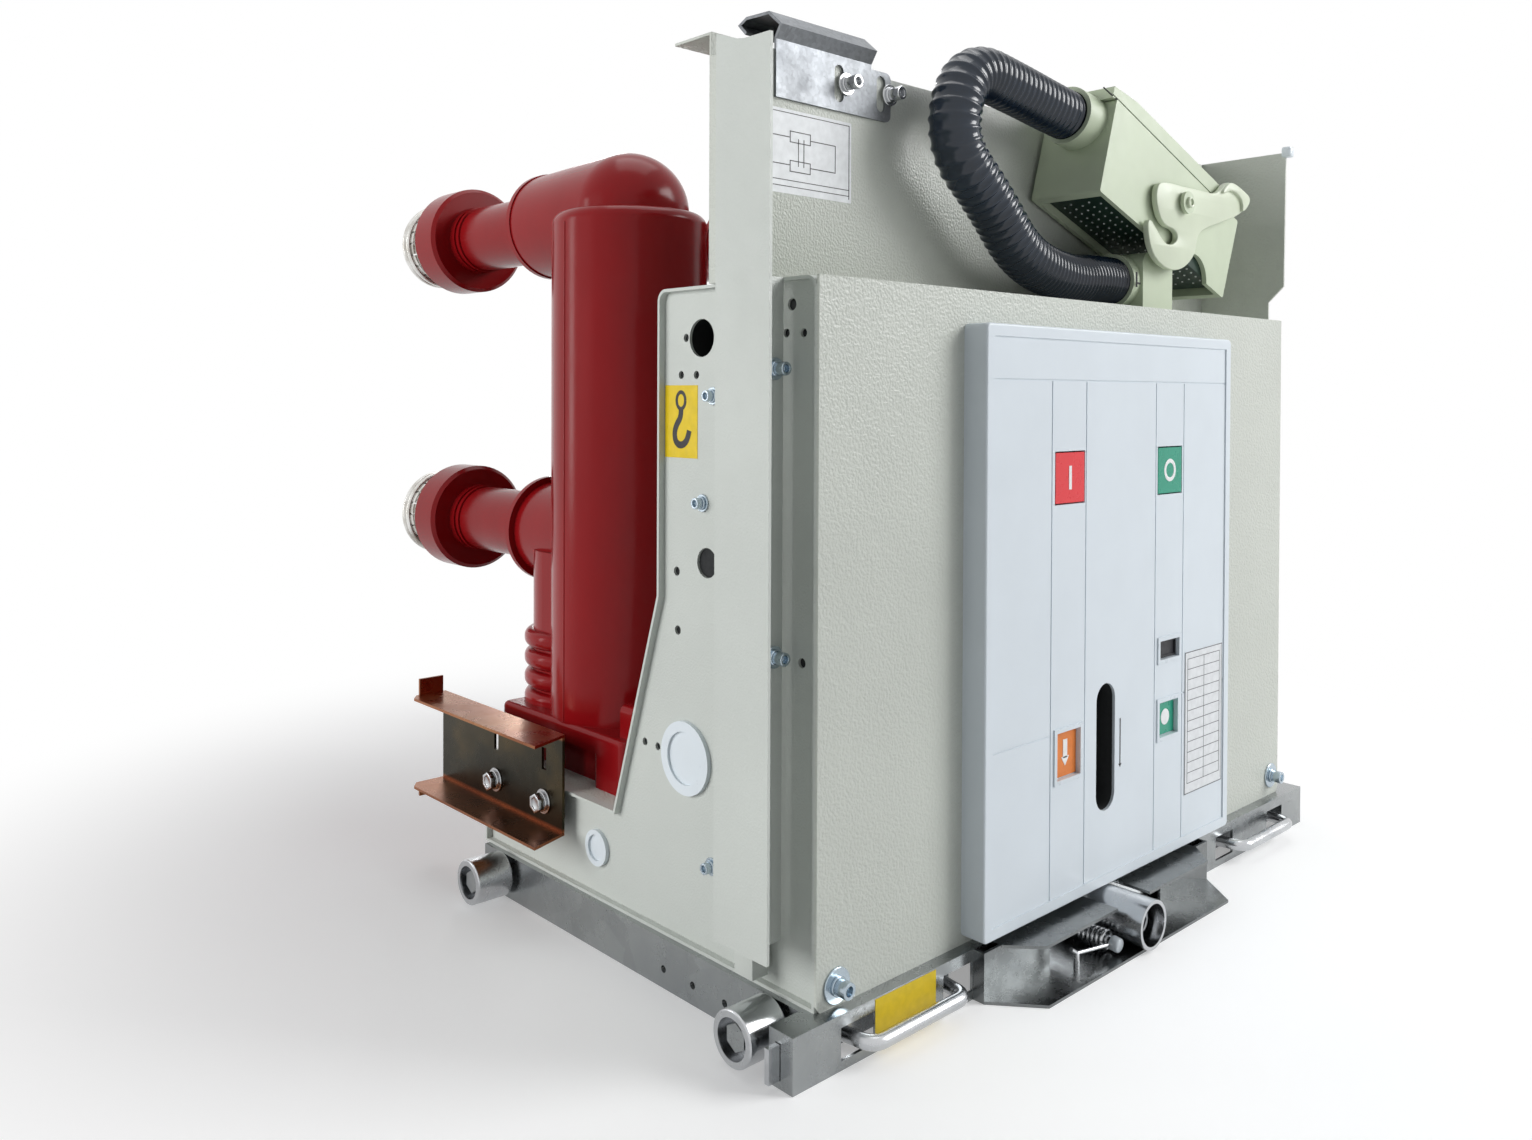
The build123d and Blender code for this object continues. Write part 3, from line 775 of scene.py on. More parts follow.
class Palette:
    """Every finish of the breaker, built once."""

    def __init__(self) -> None:
        """Build the materials."""
        finishes = [
            PowderCoat("beige_paint", (0.565, 0.59, 0.54)),
            PowderCoat("smooth_paint", (0.565, 0.595, 0.56), 700.0, 0.0004, 0.42),
            Moulding("panel_plastic", (0.68, 0.74, 0.79), 0.36, mottle=0.02),
            Moulding("window_trim", (0.66, 0.72, 0.77), 0.3),
            Moulding("red_cap", (0.74, 0.025, 0.035), 0.28),
            Moulding("green_cap", (0.01, 0.30, 0.19), 0.28),
            Moulding("white_plastic", (0.70, 0.76, 0.80), 0.32),
            Moulding("plug_green", (0.50, 0.57, 0.42), 0.4, mottle=0.05),
            Moulding("lever_green", (0.60, 0.66, 0.51), 0.34, mottle=0.05),
            # Painted shade: near-black green for the shaded mouth of the plug.
            Moulding("painted_shade_green", (0.012, 0.035, 0.024), 0.45),
            Moulding("hose_polymer", (0.010, 0.019, 0.034), 0.15, mottle=0.2),
            CastResin("red_resin", (0.24, 0.005, 0.007)),
            ZincCoat("galvanised", (0.25, 0.262, 0.275), 420.0, 0.5, 0.14),
            ZincCoat("truck_zinc", (0.37, 0.385, 0.385), 45.0, 0.24, 0.08),
            # Painted shade: a darker copy of truck_zinc for the recessed centre tray.
            ZincCoat("tray_zinc_painted_shade", (0.22, 0.23, 0.23), 45.0, 0.24, 0.08),
            ZincCoat("bright_zinc", (0.60, 0.61, 0.62), 60.0, 0.22, 0.04),
            ZincCoat("blue_zinc", (0.50, 0.58, 0.64), 80.0, 0.24, 0.08),
            # Passivated zinc with painted shade on the rail's web.
            PassivationAndPaintedShade("passivated_with_painted_shade"),
            SilverPlate("silver_plate"),
            PrintInk("yellow_film", (0.72, 0.52, 0.01)),
            PrintInk("white_film", (0.74, 0.76, 0.78)),
            PrintInk("black_ink", (0.012, 0.012, 0.016)),
            PrintInk("white_ink", (0.82, 0.83, 0.83)),
            PrintInk("orange_flag", (0.72, 0.20, 0.03)),
            PrintInk("grey_ink", (0.12, 0.13, 0.14)),
            # Painted shade for holes, pockets and slots; the same black also draws the plug's seam
            # line.
            PrintInk("painted_shade_and_seam_black", (0.010, 0.011, 0.012), 0.7),
        ]
        self.made = {finish.name: finish.build() for finish in finishes}

    def __getitem__(self, name: str) -> bpy.types.Material:
        """Return a material by name."""
        return self.made[name]

    def dress_frame(self, nodes: dict[str, bpy.types.Object]) -> None:
        """Give every node of the frame its finish.

        Args:
            nodes: The frame's nodes by name.
        """
        by_start = {
            "side_plate": "smooth_paint",
            "mechanism_case": "beige_paint",
            "pole_base": "beige_paint",
            "front_cover": "beige_paint",
            "guard_plate": "beige_paint",
            "side_strip": "smooth_paint",
            "side_wing": "beige_paint",
            "operator_panel": "panel_plastic",
            "counter_window": "window_trim",
            "charge_window": "window_trim",
            "position_window": "window_trim",
            "close_button": "red_cap",
            "open_button": "green_cap",
            "hole_cap": "white_plastic",
            "charging_lever": "black_ink",
            "truck_frame": "truck_zinc",
            "centre_tray": "tray_zinc_painted_shade",
            # the tray's darker zinc is painted shade
            "racking": "bright_zinc",
            "hook_bracket": "galvanised",
            "handle": "bright_zinc",
            "roller": "bright_zinc",
            # the rail's web is painted shade
            "shutter_rail": "passivated_with_painted_shade",
            "pole_": "red_resin",
            "contact_": "silver_plate",
            "hose": "plug_green",
            "plug_body": "plug_green",
            "plug_lever": "lever_green",
        }
        for name, node in nodes.items():
            finish = next((f for start, f in by_start.items() if name.startswith(start)), None)
            if finish is None:
                raise ValueError(f"no finish for {name}")
            node.data.materials.clear()
            node.data.materials.append(self[finish])
            LOG.info("node %s is %s", name, finish)


@dataclass(frozen=True)
class CapScrew:
    """Socket-head screw on washers, modelled along +Z from the plate's face."""

    head_radius: float = 5.2
    head_height: float = 6.0
    washer_radius: float = 8.0
    sides: int = 28

    def build(self, name: str) -> bpy.types.Object:
        """Model the screw at the origin.

        Args:
            name: Name of the new object.

        Returns:
            The screw.
        """
        lift = 0.0
        parts = []
        for radius, height in ((self.washer_radius, 1.4), (self.head_radius * 1.18, 1.6)):
            parts.append(self.disc(f"{name}_washer", radius, lift, height))
            Bench.bevel(parts[-1], 0.3, 1)
            lift += height
        head = self.disc(name, self.head_radius, lift, self.head_height)
        Bench.sink(head, Facing.UP, self.head_radius * 0.42, self.head_height * 0.6)
        Bench.bevel(head, 0.4, 2, 60.0)
        return Bench.join(name, [head, *parts])

    def disc(self, name: str, radius: float, lift: float, height: float) -> bpy.types.Object:
        """Round disc on the Z axis.

        Args:
            name: Name of the new object.
            radius: Radius in millimetres.
            lift: Height of its lower face.
            height: Thickness.

        Returns:
            The disc.
        """
        bpy.ops.object.select_all(action="DESELECT")
        bpy.ops.mesh.primitive_cylinder_add(
            vertices=self.sides,
            radius=radius * MM,
            depth=height * MM,
            location=(0, 0, (lift + height / 2) * MM),
        )
        piece = bpy.context.object
        piece.name = name
        Bench.settle_transform(piece)
        return piece


@dataclass(frozen=True)
class HexScrew(CapScrew):
    """Hexagon-head screw on a spring washer and a flat washer."""

    head_radius: float = 7.2
    head_height: float = 5.0
    washer_radius: float = 9.0

    def build(self, name: str) -> bpy.types.Object:
        """Model the screw at the origin.

        Args:
            name: Name of the new object.

        Returns:
            The screw.
        """
        flat = self.disc(f"{name}_washer", self.washer_radius, 0.0, 1.4)
        Bench.bevel(flat, 0.3, 1)
        ring = self.disc(f"{name}_ring", self.head_radius * 0.98, 1.4, 1.8)
        Bench.bevel(ring, 0.4, 1)
        bpy.ops.object.select_all(action="DESELECT")
        bpy.ops.mesh.primitive_cylinder_add(
            vertices=6,
            radius=self.head_radius * MM,
            depth=self.head_height * MM,
            location=(0, 0, (3.2 + self.head_height / 2) * MM),
        )
        head = bpy.context.object
        head.name = name
        Bench.settle_transform(head)
        Bench.sink(head, Facing.UP, self.head_radius * 0.3, 1.2)
        Bench.bevel(head, 0.5, 2, 30.0)
        return Bench.join(name, [head, flat, ring])


@dataclass
class SideDressing:
    """Stickers, screws and painted shade in the holes of the two side plates."""

    palette: Palette
    face_x: float = 285.8
    sheet: float = 2.0
    sticker_low: Pair = (112.3, 341.5)
    sticker_high: Pair = (145.6, 388.0)
    lifting_hole: Pair = (108.8, 417.7)
    pocket_radius: float = 14.9
    pocket_depth: float = 24.8
    screw_places: tuple[Pair, ...] = ((106.9, 313.9), (97.0, 381.2), (96.8, 87.4))
    holes: tuple[Triple, ...] = (
        (124.2, 418.2, 2.5),
        (129.1, 394.6, 2.5),
        (113.8, 394.5, 2.5),
        (133.0, 268.2, 2.9),
        (131.8, 230.3, 2.9),
        (166.3, 151.0, 2.5),
        (152.4, 150.7, 2.5),
        (102.9, 276.5, 9.4),
        (27.0, 434.5, 3.5),
        (31.5, 418.1, 2.5),
        (17.2, 417.7, 2.5),
        (17.6, 227.7, 2.9),
    )

    def build(self) -> None:
        """Build every piece of both sides."""
        for side, sign in SIDES:
            self.painted_hole_shades(side, sign)
            self.sticker(side, sign)
            self.screws(side, sign)

    def painted_hole_shades(self, side: str, sign: int) -> None:
        """Painted shade: dark discs inside the open holes and a dark cup in the lifting pocket.

        Args:
            side: Name of the side.
            sign: -1 on the left and 1 on the right.
        """
        inner = self.face_x - self.sheet
        parts = []
        for depth, z, radius in self.holes:
            low, high = (sign * inner, depth, z), (sign * (inner + SKIN), depth, z)
            # Painted shade: a thin dark disc on the plate's inner face in each hole.
            parts.append(Bench.rod("painted_shade_piece", radius, low, high, 24))
        depth, z = self.lifting_hole
        low = (sign * (inner - self.pocket_depth), depth, z)
        high = (sign * (inner - 0.1), depth, z)
        # Painted shade: a dark cup in the lifting pocket.
        cup = Bench.rod("cup", self.pocket_radius, low, high, 40)
        Bench.sink(cup, Facing.outward(sign), 0.3, self.pocket_depth - 0.6)
        piece = Bench.join(f"painted_hole_shade_{side}", [*parts, cup])
        Bench.hand_over(piece, self.palette["painted_shade_and_seam_black"])

    def sticker(self, side: str, sign: int) -> None:
        """Yellow film with a hoist hook.

        Args:
            side: Name of the side.
            sign: -1 on the left and 1 on the right.
        """
        d0, z0 = self.sticker_low
        d1, z1 = self.sticker_high
        near, far = sorted((sign * self.face_x, sign * (self.face_x + SKIN)))
        film = Bench.block(f"hoist_sticker_{side}", (near, d0, z0), (far, d1, z1))
        Bench.bevel(film, 0.1, 1)
        Bench.hand_over(film, self.palette["yellow_film"])
        mid = (d0 + d1) / 2
        centre_z = (z0 + z1) / 2
        turns = [step * math.pi / 10 for step in range(21)]
        ring = [(4.4 * math.cos(turn), 13.5 + 5.4 * math.sin(turn)) for turn in turns]
        shank = [
            (0.0, 8.4), (0.2, 5.0), (-1.2, 1.5), (-4.4, -2.0), (-6.6, -7.0),
            (-5.8, -12.5), (-1.6, -15.4), (3.6, -14.4), (7.2, -10.4), (8.4, -5.6),
        ]
        marks = []
        for points, thick in ((ring, 1.3), (shank, 2.4)):
            marks.append(self.stroke(points, thick, sign, mid, centre_z))
        mark = Bench.join(f"hook_mark_{side}", marks)
        Bench.hand_over(mark, self.palette["black_ink"])

    def stroke(
        self, points: list[Pair], thick: float, sign: int, mid: float, centre_z: float
    ) -> bpy.types.Object:
        """Flat line of ink along points on the sticker.

        Args:
            points: Places across and up from the sticker's middle, in millimetres.
            thick: Half the width of the line.
            sign: -1 on the left and 1 on the right.
            mid: Depth of the sticker's middle.
            centre_z: Height of the sticker's middle.

        Returns:
            The line as a thin solid.
        """
        curve = bpy.data.curves.new("stroke", "CURVE")
        curve.dimensions = "3D"
        curve.bevel_depth = thick * MM
        curve.bevel_resolution = 3
        curve.use_fill_caps = True
        spline = curve.splines.new("NURBS")
        spline.points.add(len(points) - 1)
        for knot, (u, v) in zip(spline.points, points):
            spot = place(0.0, mid - u, centre_z + v)
            knot.co = (*spot, 1.0)
        spline.use_endpoint_u = True
        spline.order_u = 3
        line = bpy.data.objects.new("stroke", curve)
        bpy.context.scene.collection.objects.link(line)
        Bench.only(line)
        bpy.ops.object.convert(target="MESH")
        line = bpy.context.object
        line.scale.x = 0.22 / (2 * thick)
        line.location.x = sign * (self.face_x + SKIN + 0.05) * MM
        Bench.settle_transform(line)
        return line

    def screws(self, side: str, sign: int) -> None:
        """Screws that hold the side plate.

        Args:
            side: Name of the side.
            sign: -1 on the left and 1 on the right.
        """
        facing = Facing.outward(sign)
        spots = [((sign * self.face_x, depth, z), facing) for depth, z in self.screw_places]
        piece = Bench.copies(f"side_screws_{side}", CapScrew(3.6, 4.2, 5.6).build("screw"), spots)
        Bench.hand_over(piece, self.palette["blue_zinc"])


@dataclass
class FrontDressing:
    """Cover screws, panel marks, window flags and painted shade in the panel's openings."""

    palette: Palette
    panel_front: float = -18.0
    field: float = -17.0
    button_face: float = -17.0
    close_x: float = -66.0
    open_x: float = 67.0
    button_z: float = 327.0
    slot_x: float = -19.5
    slot_z: float = 135.0
    slot_reach: float = 33.0

    def build(self) -> None:
        """Build every piece of the front."""
        self.cover_screws()
        self.button_marks()
        self.flags()
        self.painted_slot_shade()
        self.rating_plate()
        self.arrow()

    def cover_screws(self) -> None:
        """Two screws on wide washers at the cover's lower corners."""
        spots = [((-274.5, 0.0, 44.0), Facing.FRONT), ((275.5, 0.0, 49.0), Facing.FRONT)]
        piece = Bench.copies("cover_screws", CapScrew(5.0, 8.0, 10.5).build("screw"), spots)
        Bench.hand_over(piece, self.palette["blue_zinc"])

    def button_marks(self) -> None:
        """White bar on the close button and white ring on the open button."""
        face, x, z = self.button_face, self.close_x, self.button_z
        bar = Bench.block("close_mark", (x - 1.6, face - SKIN, z - 8), (x + 1.6, face, z + 8))
        Bench.hand_over(bar, self.palette["white_ink"], "close_button")
        bpy.ops.object.select_all(action="DESELECT")
        bpy.ops.mesh.primitive_torus_add(
            major_segments=48,
            minor_segments=8,
            major_radius=7 * MM,
            minor_radius=1.5 * MM,
            location=place(self.open_x, face - 0.1, z),
            rotation=(math.pi / 2, 0, 0),
        )
        ring = bpy.context.object
        ring.name = "open_mark"
        ring.scale.z = 0.12
        Bench.settle_transform(ring)
        Bench.hand_over(ring, self.palette["white_ink"], "open_button")

    def flags(self) -> None:
        """Coloured flags behind the three windows."""
        floor = self.panel_front + 4.0
        counter = Bench.block("counter_drum", (54.0, floor - 1.2, 186.0), (81.0, floor, 199.0))
        Bench.sink(counter, Facing.FRONT, 1.5, 1.0)
        Bench.hand_over(counter, self.palette["black_ink"])
        charge = Bench.block("charge_flag", (-80.0, floor - 0.6, 124.0), (-53.0, floor, 155.0))
        Bench.bevel(charge, 0.2, 1)
        Bench.hand_over(charge, self.palette["orange_flag"])
        position = Bench.block("position_flag", (53.3, floor - 0.6, 128.0), (79.7, floor, 153.5))
        Bench.bevel(position, 0.2, 1)
        Bench.hand_over(position, self.palette["green_cap"])
        face = floor - 0.6
        arrow = self.down_arrow("charge_mark", -66.5, face, 131.0, 149.0, 5.0, 9.0)
        dot = Bench.rod("position_mark", 6.0, (66.5, face - SKIN, 140.8), (66.5, face, 140.8), 36)
        Bench.hand_over(Bench.join("flag_marks", [arrow, dot]), self.palette["white_ink"])

    def down_arrow(
        self, name: str, x: float, face: float, low: float, high: float, stem: float, head: float
    ) -> bpy.types.Object:
        """Arrow that points down, as a thin plate.

        Args:
            name: Name of the new object.
            x: Middle of the arrow.
            face: Depth of the face that it lies on.
            low: Height of its tip.
            high: Height of its upper end.
            stem: Width of the stem.
            head: Width of the head.

        Returns:
            The arrow.
        """
        near, wide, slim = face - SKIN, head / 2, stem / 2
        shaft = Bench.block(name, (x - slim, near, low + head * 0.6), (x + slim, face, high))
        neck = low + head * 0.7
        tip = Bench.block(f"{name}_tip", (x - wide, near, low), (x + wide, face, neck))
        for vertex in tip.data.vertices:
            if vertex.co.z < (low + 0.1) * MM:
                vertex.co.x = x * MM
        return Bench.join(name, [shaft, tip])

    def painted_slot_shade(self) -> None:
        """Painted shade: a dark cup in the slot in which the charging lever moves."""
        x, middle, reach = self.slot_x, self.slot_z, self.slot_reach
        # Painted shade standing for the dark inside of the charging slot.
        painted_shade_piece = Bench.rod("painted_slot_shade", 11.9, (x, -15.0, middle), (x, 47.9, middle), 48)
        for vertex in painted_shade_piece.data.vertices:
            vertex.co.z += (reach if vertex.co.z > (middle + 0.01) * MM else -reach) * MM
        Bench.sink(painted_shade_piece, Facing.FRONT, 0.3, 62.5)
        Bench.hand_over(painted_shade_piece, self.palette["painted_shade_and_seam_black"])

    def rating_plate(self) -> None:
        """Blank plate and frame at the lower right of the panel."""
        low, high = (91.5, self.field - 0.5, 76.0), (150.5, self.field, 186.0)
        plate = Bench.block("rating_plate", low, high)
        Bench.bevel(plate, 0.25, 1)
        Bench.sink(plate, Facing.FRONT, 2.0, 0.15)
        Bench.hand_over(plate, self.palette["white_film"])
        near, far = self.field - 0.45, self.field - 0.3
        rules = []
        for z in range(84, 182, 8):
            rules.append(Bench.block("rule", (95.5, near, z), (146.5, far, z + 0.5)))
        for x in (95.5, 121.0, 146.0):
            rules.append(Bench.block("rule", (x, near, 84.0), (x + 0.5, far, 180.5)))
        near, far = self.field - 0.55, self.field - 0.45
        for x in (91.7, 149.6):
            rules.append(Bench.block("border", (x, near, 76.2), (x + 0.7, far, 185.8)))
        for z in (76.2, 185.1):
            rules.append(Bench.block("border", (91.7, near, z), (150.3, far, z + 0.7)))
        Bench.hand_over(Bench.join("rating_rules", rules), self.palette["grey_ink"])

    def arrow(self) -> None:
        """Black arrow beside the charging slot."""
        piece = self.down_arrow("charging_arrow", -0.5, self.field, 117.0, 152.0, 0.9, 3.6)
        Bench.hand_over(piece, self.palette["black_ink"])


@dataclass
class GuardDressing:
    """Guard plate, side strip, label, screws and the wing's white end piece."""

    palette: Palette
    plate_depth: float = 90.0
    bracket_depth: float = 88.0
    bracket_z: float = 592.0
    bracket_screws: tuple[float, ...] = (-177.5, -133.5, 133.5, 177.5)
    housing_top: float = 450.0

    def build(self) -> None:
        """Build every piece of the guard."""
        self.sheets()
        self.label()
        depth, z = self.bracket_depth, self.bracket_z
        spots = [((x, depth, z), Facing.FRONT) for x in self.bracket_screws]
        piece = Bench.copies("bracket_screws", CapScrew(4.7, 9.0, 7.6).build("screw"), spots)
        Bench.hand_over(piece, self.palette["bright_zinc"])
        spots = [((-297.5, 29.0, z), Facing.FRONT) for z in (231.0, 397.0)]
        piece = Bench.copies("strip_screws", CapScrew(4.0, 7.0, 6.5).build("screw"), spots)
        Bench.hand_over(piece, self.palette["blue_zinc"])
        tip = Bench.block("wing_end", (315.0, 4.5, 599.5), (324.0, 13.0, 609.0))
        Bench.bevel(tip, 2.0, 3)
        Bench.hand_over(tip, self.palette["white_plastic"])

    def sheets(self) -> None:
        """Guard plate with its flanges, and the long strip at the left with its cut top."""
        base = self.housing_top
        parts = [
            Bench.block("guard_sheet", (-294.5, 90.0, base), (318.5, 92.0, 604.0)),
            Bench.block("guard_top", (-294.5, 91.0, 602.0), (294.5, 126.0, 604.0)),
            Bench.block("guard_side", (-294.5, 46.0, base), (-292.5, 91.0, 589.0)),
            Bench.block("guard_link", (-318.0, 46.0, base), (-293.5, 48.0, 580.0)),
        ]
        guard = Bench.join("guard_sheet", parts)
        Bench.bevel(guard, 0.5, 2, 60.0)
        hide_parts("guard_plate")
        Bench.hand_over(guard, self.palette["beige_paint"], slot="beige_paint")
        outline = [
            (10.0, 65.0), (56.0, 65.0), (56.0, 590.0), (37.6, 583.4), (31.0, 582.3),
            (10.0, 582.2),
        ]
        face = Bench.plate("side_strip", outline, "X", -319.5, -317.5)
        web = Bench.block("side_web", (-318.5, 29.0, 65.0), (-290.5, 31.0, base))
        tab = Bench.block("side_tab", (-303.0, 40.0, 41.0), (-290.5, 56.0, 68.0))
        strip = Bench.join("side_strip", [face, web, tab])
        Bench.bevel(strip, 0.5, 2, 60.0)
        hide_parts("side_strip_left")
        Bench.hand_over(strip, self.palette["smooth_paint"], slot="beige_paint")

    def label(self) -> None:
        """White label with a line figure of a plug joint."""
        face = self.plate_depth
        sheet = Bench.block("guard_label", (-244.5, face - SKIN, 512.5), (-170.0, face, 567.0))
        Bench.bevel(sheet, 0.1, 1)
        Bench.hand_over(sheet, self.palette["white_film"])
        lines = [
            (-243, 549, -228, 549.6),
            (-243, 531, -228, 531.6),
            (-228, 553, -209, 553.6),
            (-228, 546, -209, 546.6),
            (-228, 546, -227.4, 553.6),
            (-209.6, 546, -209, 553.6),
            (-228, 534, -209, 534.6),
            (-228, 527, -209, 527.6),
            (-228, 527, -227.4, 534.6),
            (-209.6, 527, -209, 534.6),
            (-220.5, 531, -219.9, 549),
            (-215.5, 531, -214.9, 549),
            (-209, 549, -186, 549.6),
            (-209, 531, -186, 531.6),
            (-186, 531, -185.4, 549.6),
            (-243, 521, -172, 521.5),
            (-243, 517, -172, 517.5),
            (-172.6, 515, -172, 565),
            (-243, 564.5, -172, 565),
        ]
        near, far = face - 0.4, face - 0.2
        strokes = [Bench.block("line", (x0, near, z0), (x1, far, z1)) for x0, z0, x1, z1 in lines]
        Bench.hand_over(Bench.join("label_figure", strokes), self.palette["black_ink"])


@dataclass
class TruckDressing:
    """Sticker on the beam, interlock lever in the tray, and screws of the shutter rails."""

    palette: Palette
    beam_depth: float = -9.0
    tray_x: float = -15.5

    def build(self) -> None:
        """Build every piece of the truck."""
        face = self.beam_depth
        sticker = Bench.block("beam_sticker", (-251.0, face - SKIN, 1.0), (-196.0, face, 31.0))
        self.sticker_holes(sticker)
        Bench.hand_over(sticker, self.palette["yellow_film"])
        self.interlock()
        for side, sign in SIDES:
            facing = Facing.outward(sign)
            spots = [((sign * 296.5, depth, 87.0), facing) for depth in (273.0, 340.0)]
            piece = Bench.copies(f"rail_screws_{side}", HexScrew().build("screw"), spots)
            Bench.hand_over(piece, self.palette["bright_zinc"])

    def sticker_holes(self, sticker: bpy.types.Object) -> None:
        """Cut the sticker away where the handle passes through the beam.

        Args:
            sticker: The film on the beam.
        """
        near, far = self.beam_depth - 3, self.beam_depth + 3
        for x in (-270.0, -179.0):
            Bench.cut(sticker, Bench.rod("tool", 11.0, (x, near, 15.0), (x, far, 15.0)))

    def interlock(self) -> None:
        """Small crank with a white knob on the tray, and its spring coil."""
        pivot_x, end_x = self.tray_x - 26, self.tray_x - 62
        knob = Bench.rod("interlock_knob", 5.0, (pivot_x, -43.0, 9.0), (pivot_x, -36.0, 10.0), 32)
        Bench.bevel(knob, 1.4, 3)
        Bench.hand_over(knob, self.palette["white_plastic"])
        end = (end_x, -32.0, 12.0)
        arm = [
            Bench.rod("arm", 1.2, (pivot_x, -38.0, 9.5), end, 16),
            Bench.rod("arm_tip", 1.6, end, (end_x - 5, -31.0, 15.5), 16),
            Bench.rod("pivot", 4.0, (pivot_x, -38.0, 10.0), (pivot_x, -9.0, 10.0), 24),
            Bench.rod("foot", 2.0, end, (end_x, -32.0, 1.9), 16),
        ]
        piece = Bench.join("interlock_arm", arm)
        Bench.hand_over(piece, self.palette["bright_zinc"])
        coil = []
        for turn in range(6):
            bpy.ops.object.select_all(action="DESELECT")
            bpy.ops.mesh.primitive_torus_add(
                major_segments=28,
                minor_segments=8,
                major_radius=6.4 * MM,
                minor_radius=1.1 * MM,
                location=place(pivot_x, -32.0 + 3.4 * turn, 10.0),
                rotation=(math.pi / 2, 0.12, 0),
            )
            loop = bpy.context.object
            Bench.settle_transform(loop)
            coil.append(loop)
        Bench.hand_over(Bench.join("interlock_spring", coil), self.palette["bright_zinc"])


@dataclass
class CorrugatedHose:
    """Ribbed hose from the elbow on the housing to the control plug."""

    palette: Palette
    depth: float = 52.0
    crest: float = 18.8
    groove: float = 17.45
    ribs: int = 74
    rib_width: float = 0.2
    rib_cuts: int = 9
    sides: int = 96
    stretch: tuple[Pair, ...] = (
        (0.0, 4.4), (105.0, 4.5), (180.0, 7.8), (260.0, 8.2), (310.0, 6.2), (424.0, 6.0),
    )
    knots: tuple[Pair, ...] = (
        (104, 475), (77, 476), (25, 472), (-29, 485), (-65, 522),
        (-112, 557), (-95, 614), (-34, 607), (14, 600), (42, 597),
    )

    def route(self) -> bpy.types.Object:
        """Draw the smooth line that the hose follows.

        Returns:
            The line as a curve object.
        """
        curve = bpy.data.curves.new("hose_route", "CURVE")
        curve.dimensions = "3D"
        spline = curve.splines.new("NURBS")
        spline.points.add(len(self.knots) - 1)
        for knot, (x, z) in zip(spline.points, self.knots):
            knot.co = (*place(x, self.depth, z), 1.0)
        spline.use_endpoint_u = True
        spline.order_u = 3
        spline.resolution_u = 24
        line = bpy.data.objects.new("hose_route", curve)
        bpy.context.scene.collection.objects.link(line)
        return line

    def stations(self, length: float) -> list[float]:
        """Where each rib starts, closer together where the hose is pushed up.

        Args:
            length: Length of the hose in metres.

        Returns:
            Places along the hose in metres, one more than there are ribs.
        """
        spots = [0.0]
        for _ in range(self.ribs):
            run = spots[-1]
            pitch = self.stretch[-1][1]
            for (a, pa), (b, pb) in zip(self.stretch, self.stretch[1:]):
                if a <= run < b:
                    pitch = pa + (pb - pa) * (run - a) / (b - a)
                    break
            spots.append(run + pitch)
        return [spot / spots[-1] * length for spot in spots]

    def build(self) -> None:
        """Model one rib, repeat it and lay the row along the route."""
        line = self.route()
        probe = bpy.data.meshes.new_from_object(line)
        spots = [v.co.copy() for v in probe.vertices]
        length = sum((b - a).length for a, b in zip(spots, spots[1:]))
        pitch = length / self.ribs
        bpy.ops.object.select_all(action="DESELECT")
        bpy.ops.mesh.primitive_cylinder_add(
            vertices=self.sides,
            radius=self.groove * MM,
            depth=pitch,
            end_fill_type="NOTHING",
            location=(pitch / 2, 0, 0),
            rotation=(0, math.pi / 2, 0),
        )
        rib = bpy.context.object
        rib.name = "corrugated_hose"
        Bench.settle_transform(rib)
        mesh = rib.data
        for part in (*mesh.vertices, *mesh.polygons):
            part.select = False
        for edge in mesh.edges:
            a, b = (mesh.vertices[i].co for i in edge.vertices)
            edge.select = abs(a.x - b.x) > pitch / 2
        bpy.context.tool_settings.mesh_select_mode = (False, True, False)
        bpy.ops.object.mode_set(mode="EDIT")
        bpy.ops.mesh.subdivide(number_cuts=self.rib_cuts)
        bpy.ops.object.mode_set(mode="OBJECT")
        for vertex in rib.data.vertices:
            along = vertex.co.x / pitch
            rise = math.exp(-(((along - 0.5) / self.rib_width) ** 2))
            radius = (self.groove + (self.crest - self.groove) * rise) * MM
            flat = math.hypot(vertex.co.y, vertex.co.z)
            vertex.co.y *= radius / flat
            vertex.co.z *= radius / flat
        Bench.only(rib)
        row = rib.modifiers.new("Row", "ARRAY")
        row.count = self.ribs
        row.use_relative_offset = False
        row.use_constant_offset = True
        row.constant_offset_displace = (pitch, 0, 0)
        row.use_merge_vertices = True
        row.merge_threshold = 0.00002
        bpy.ops.object.modifier_apply(modifier=row.name)
        starts = self.stations(length)
        for vertex in rib.data.vertices:
            count = min(self.ribs - 1, max(0, int(vertex.co.x / pitch + 1e-4)))
            share = vertex.co.x / pitch - count
            vertex.co.x = starts[count] + share * (starts[count + 1] - starts[count])
        bend = rib.modifiers.new("Lay", "CURVE")
        bend.object = line
        bend.deform_axis = "POS_X"
        bpy.ops.object.modifier_apply(modifier=bend.name)
        bpy.ops.object.mode_set(mode="EDIT")
        bpy.ops.mesh.select_all(action="DESELECT")
        bpy.ops.mesh.select_non_manifold()
        bpy.ops.mesh.edge_face_add()
        bpy.ops.object.mode_set(mode="OBJECT")
        bpy.data.objects.remove(line)
        bpy.data.meshes.remove(probe)
        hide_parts("hose")
        Bench.hand_over(rib, self.palette["hose_polymer"], slot="hose_black", smooth_angle=70.0)


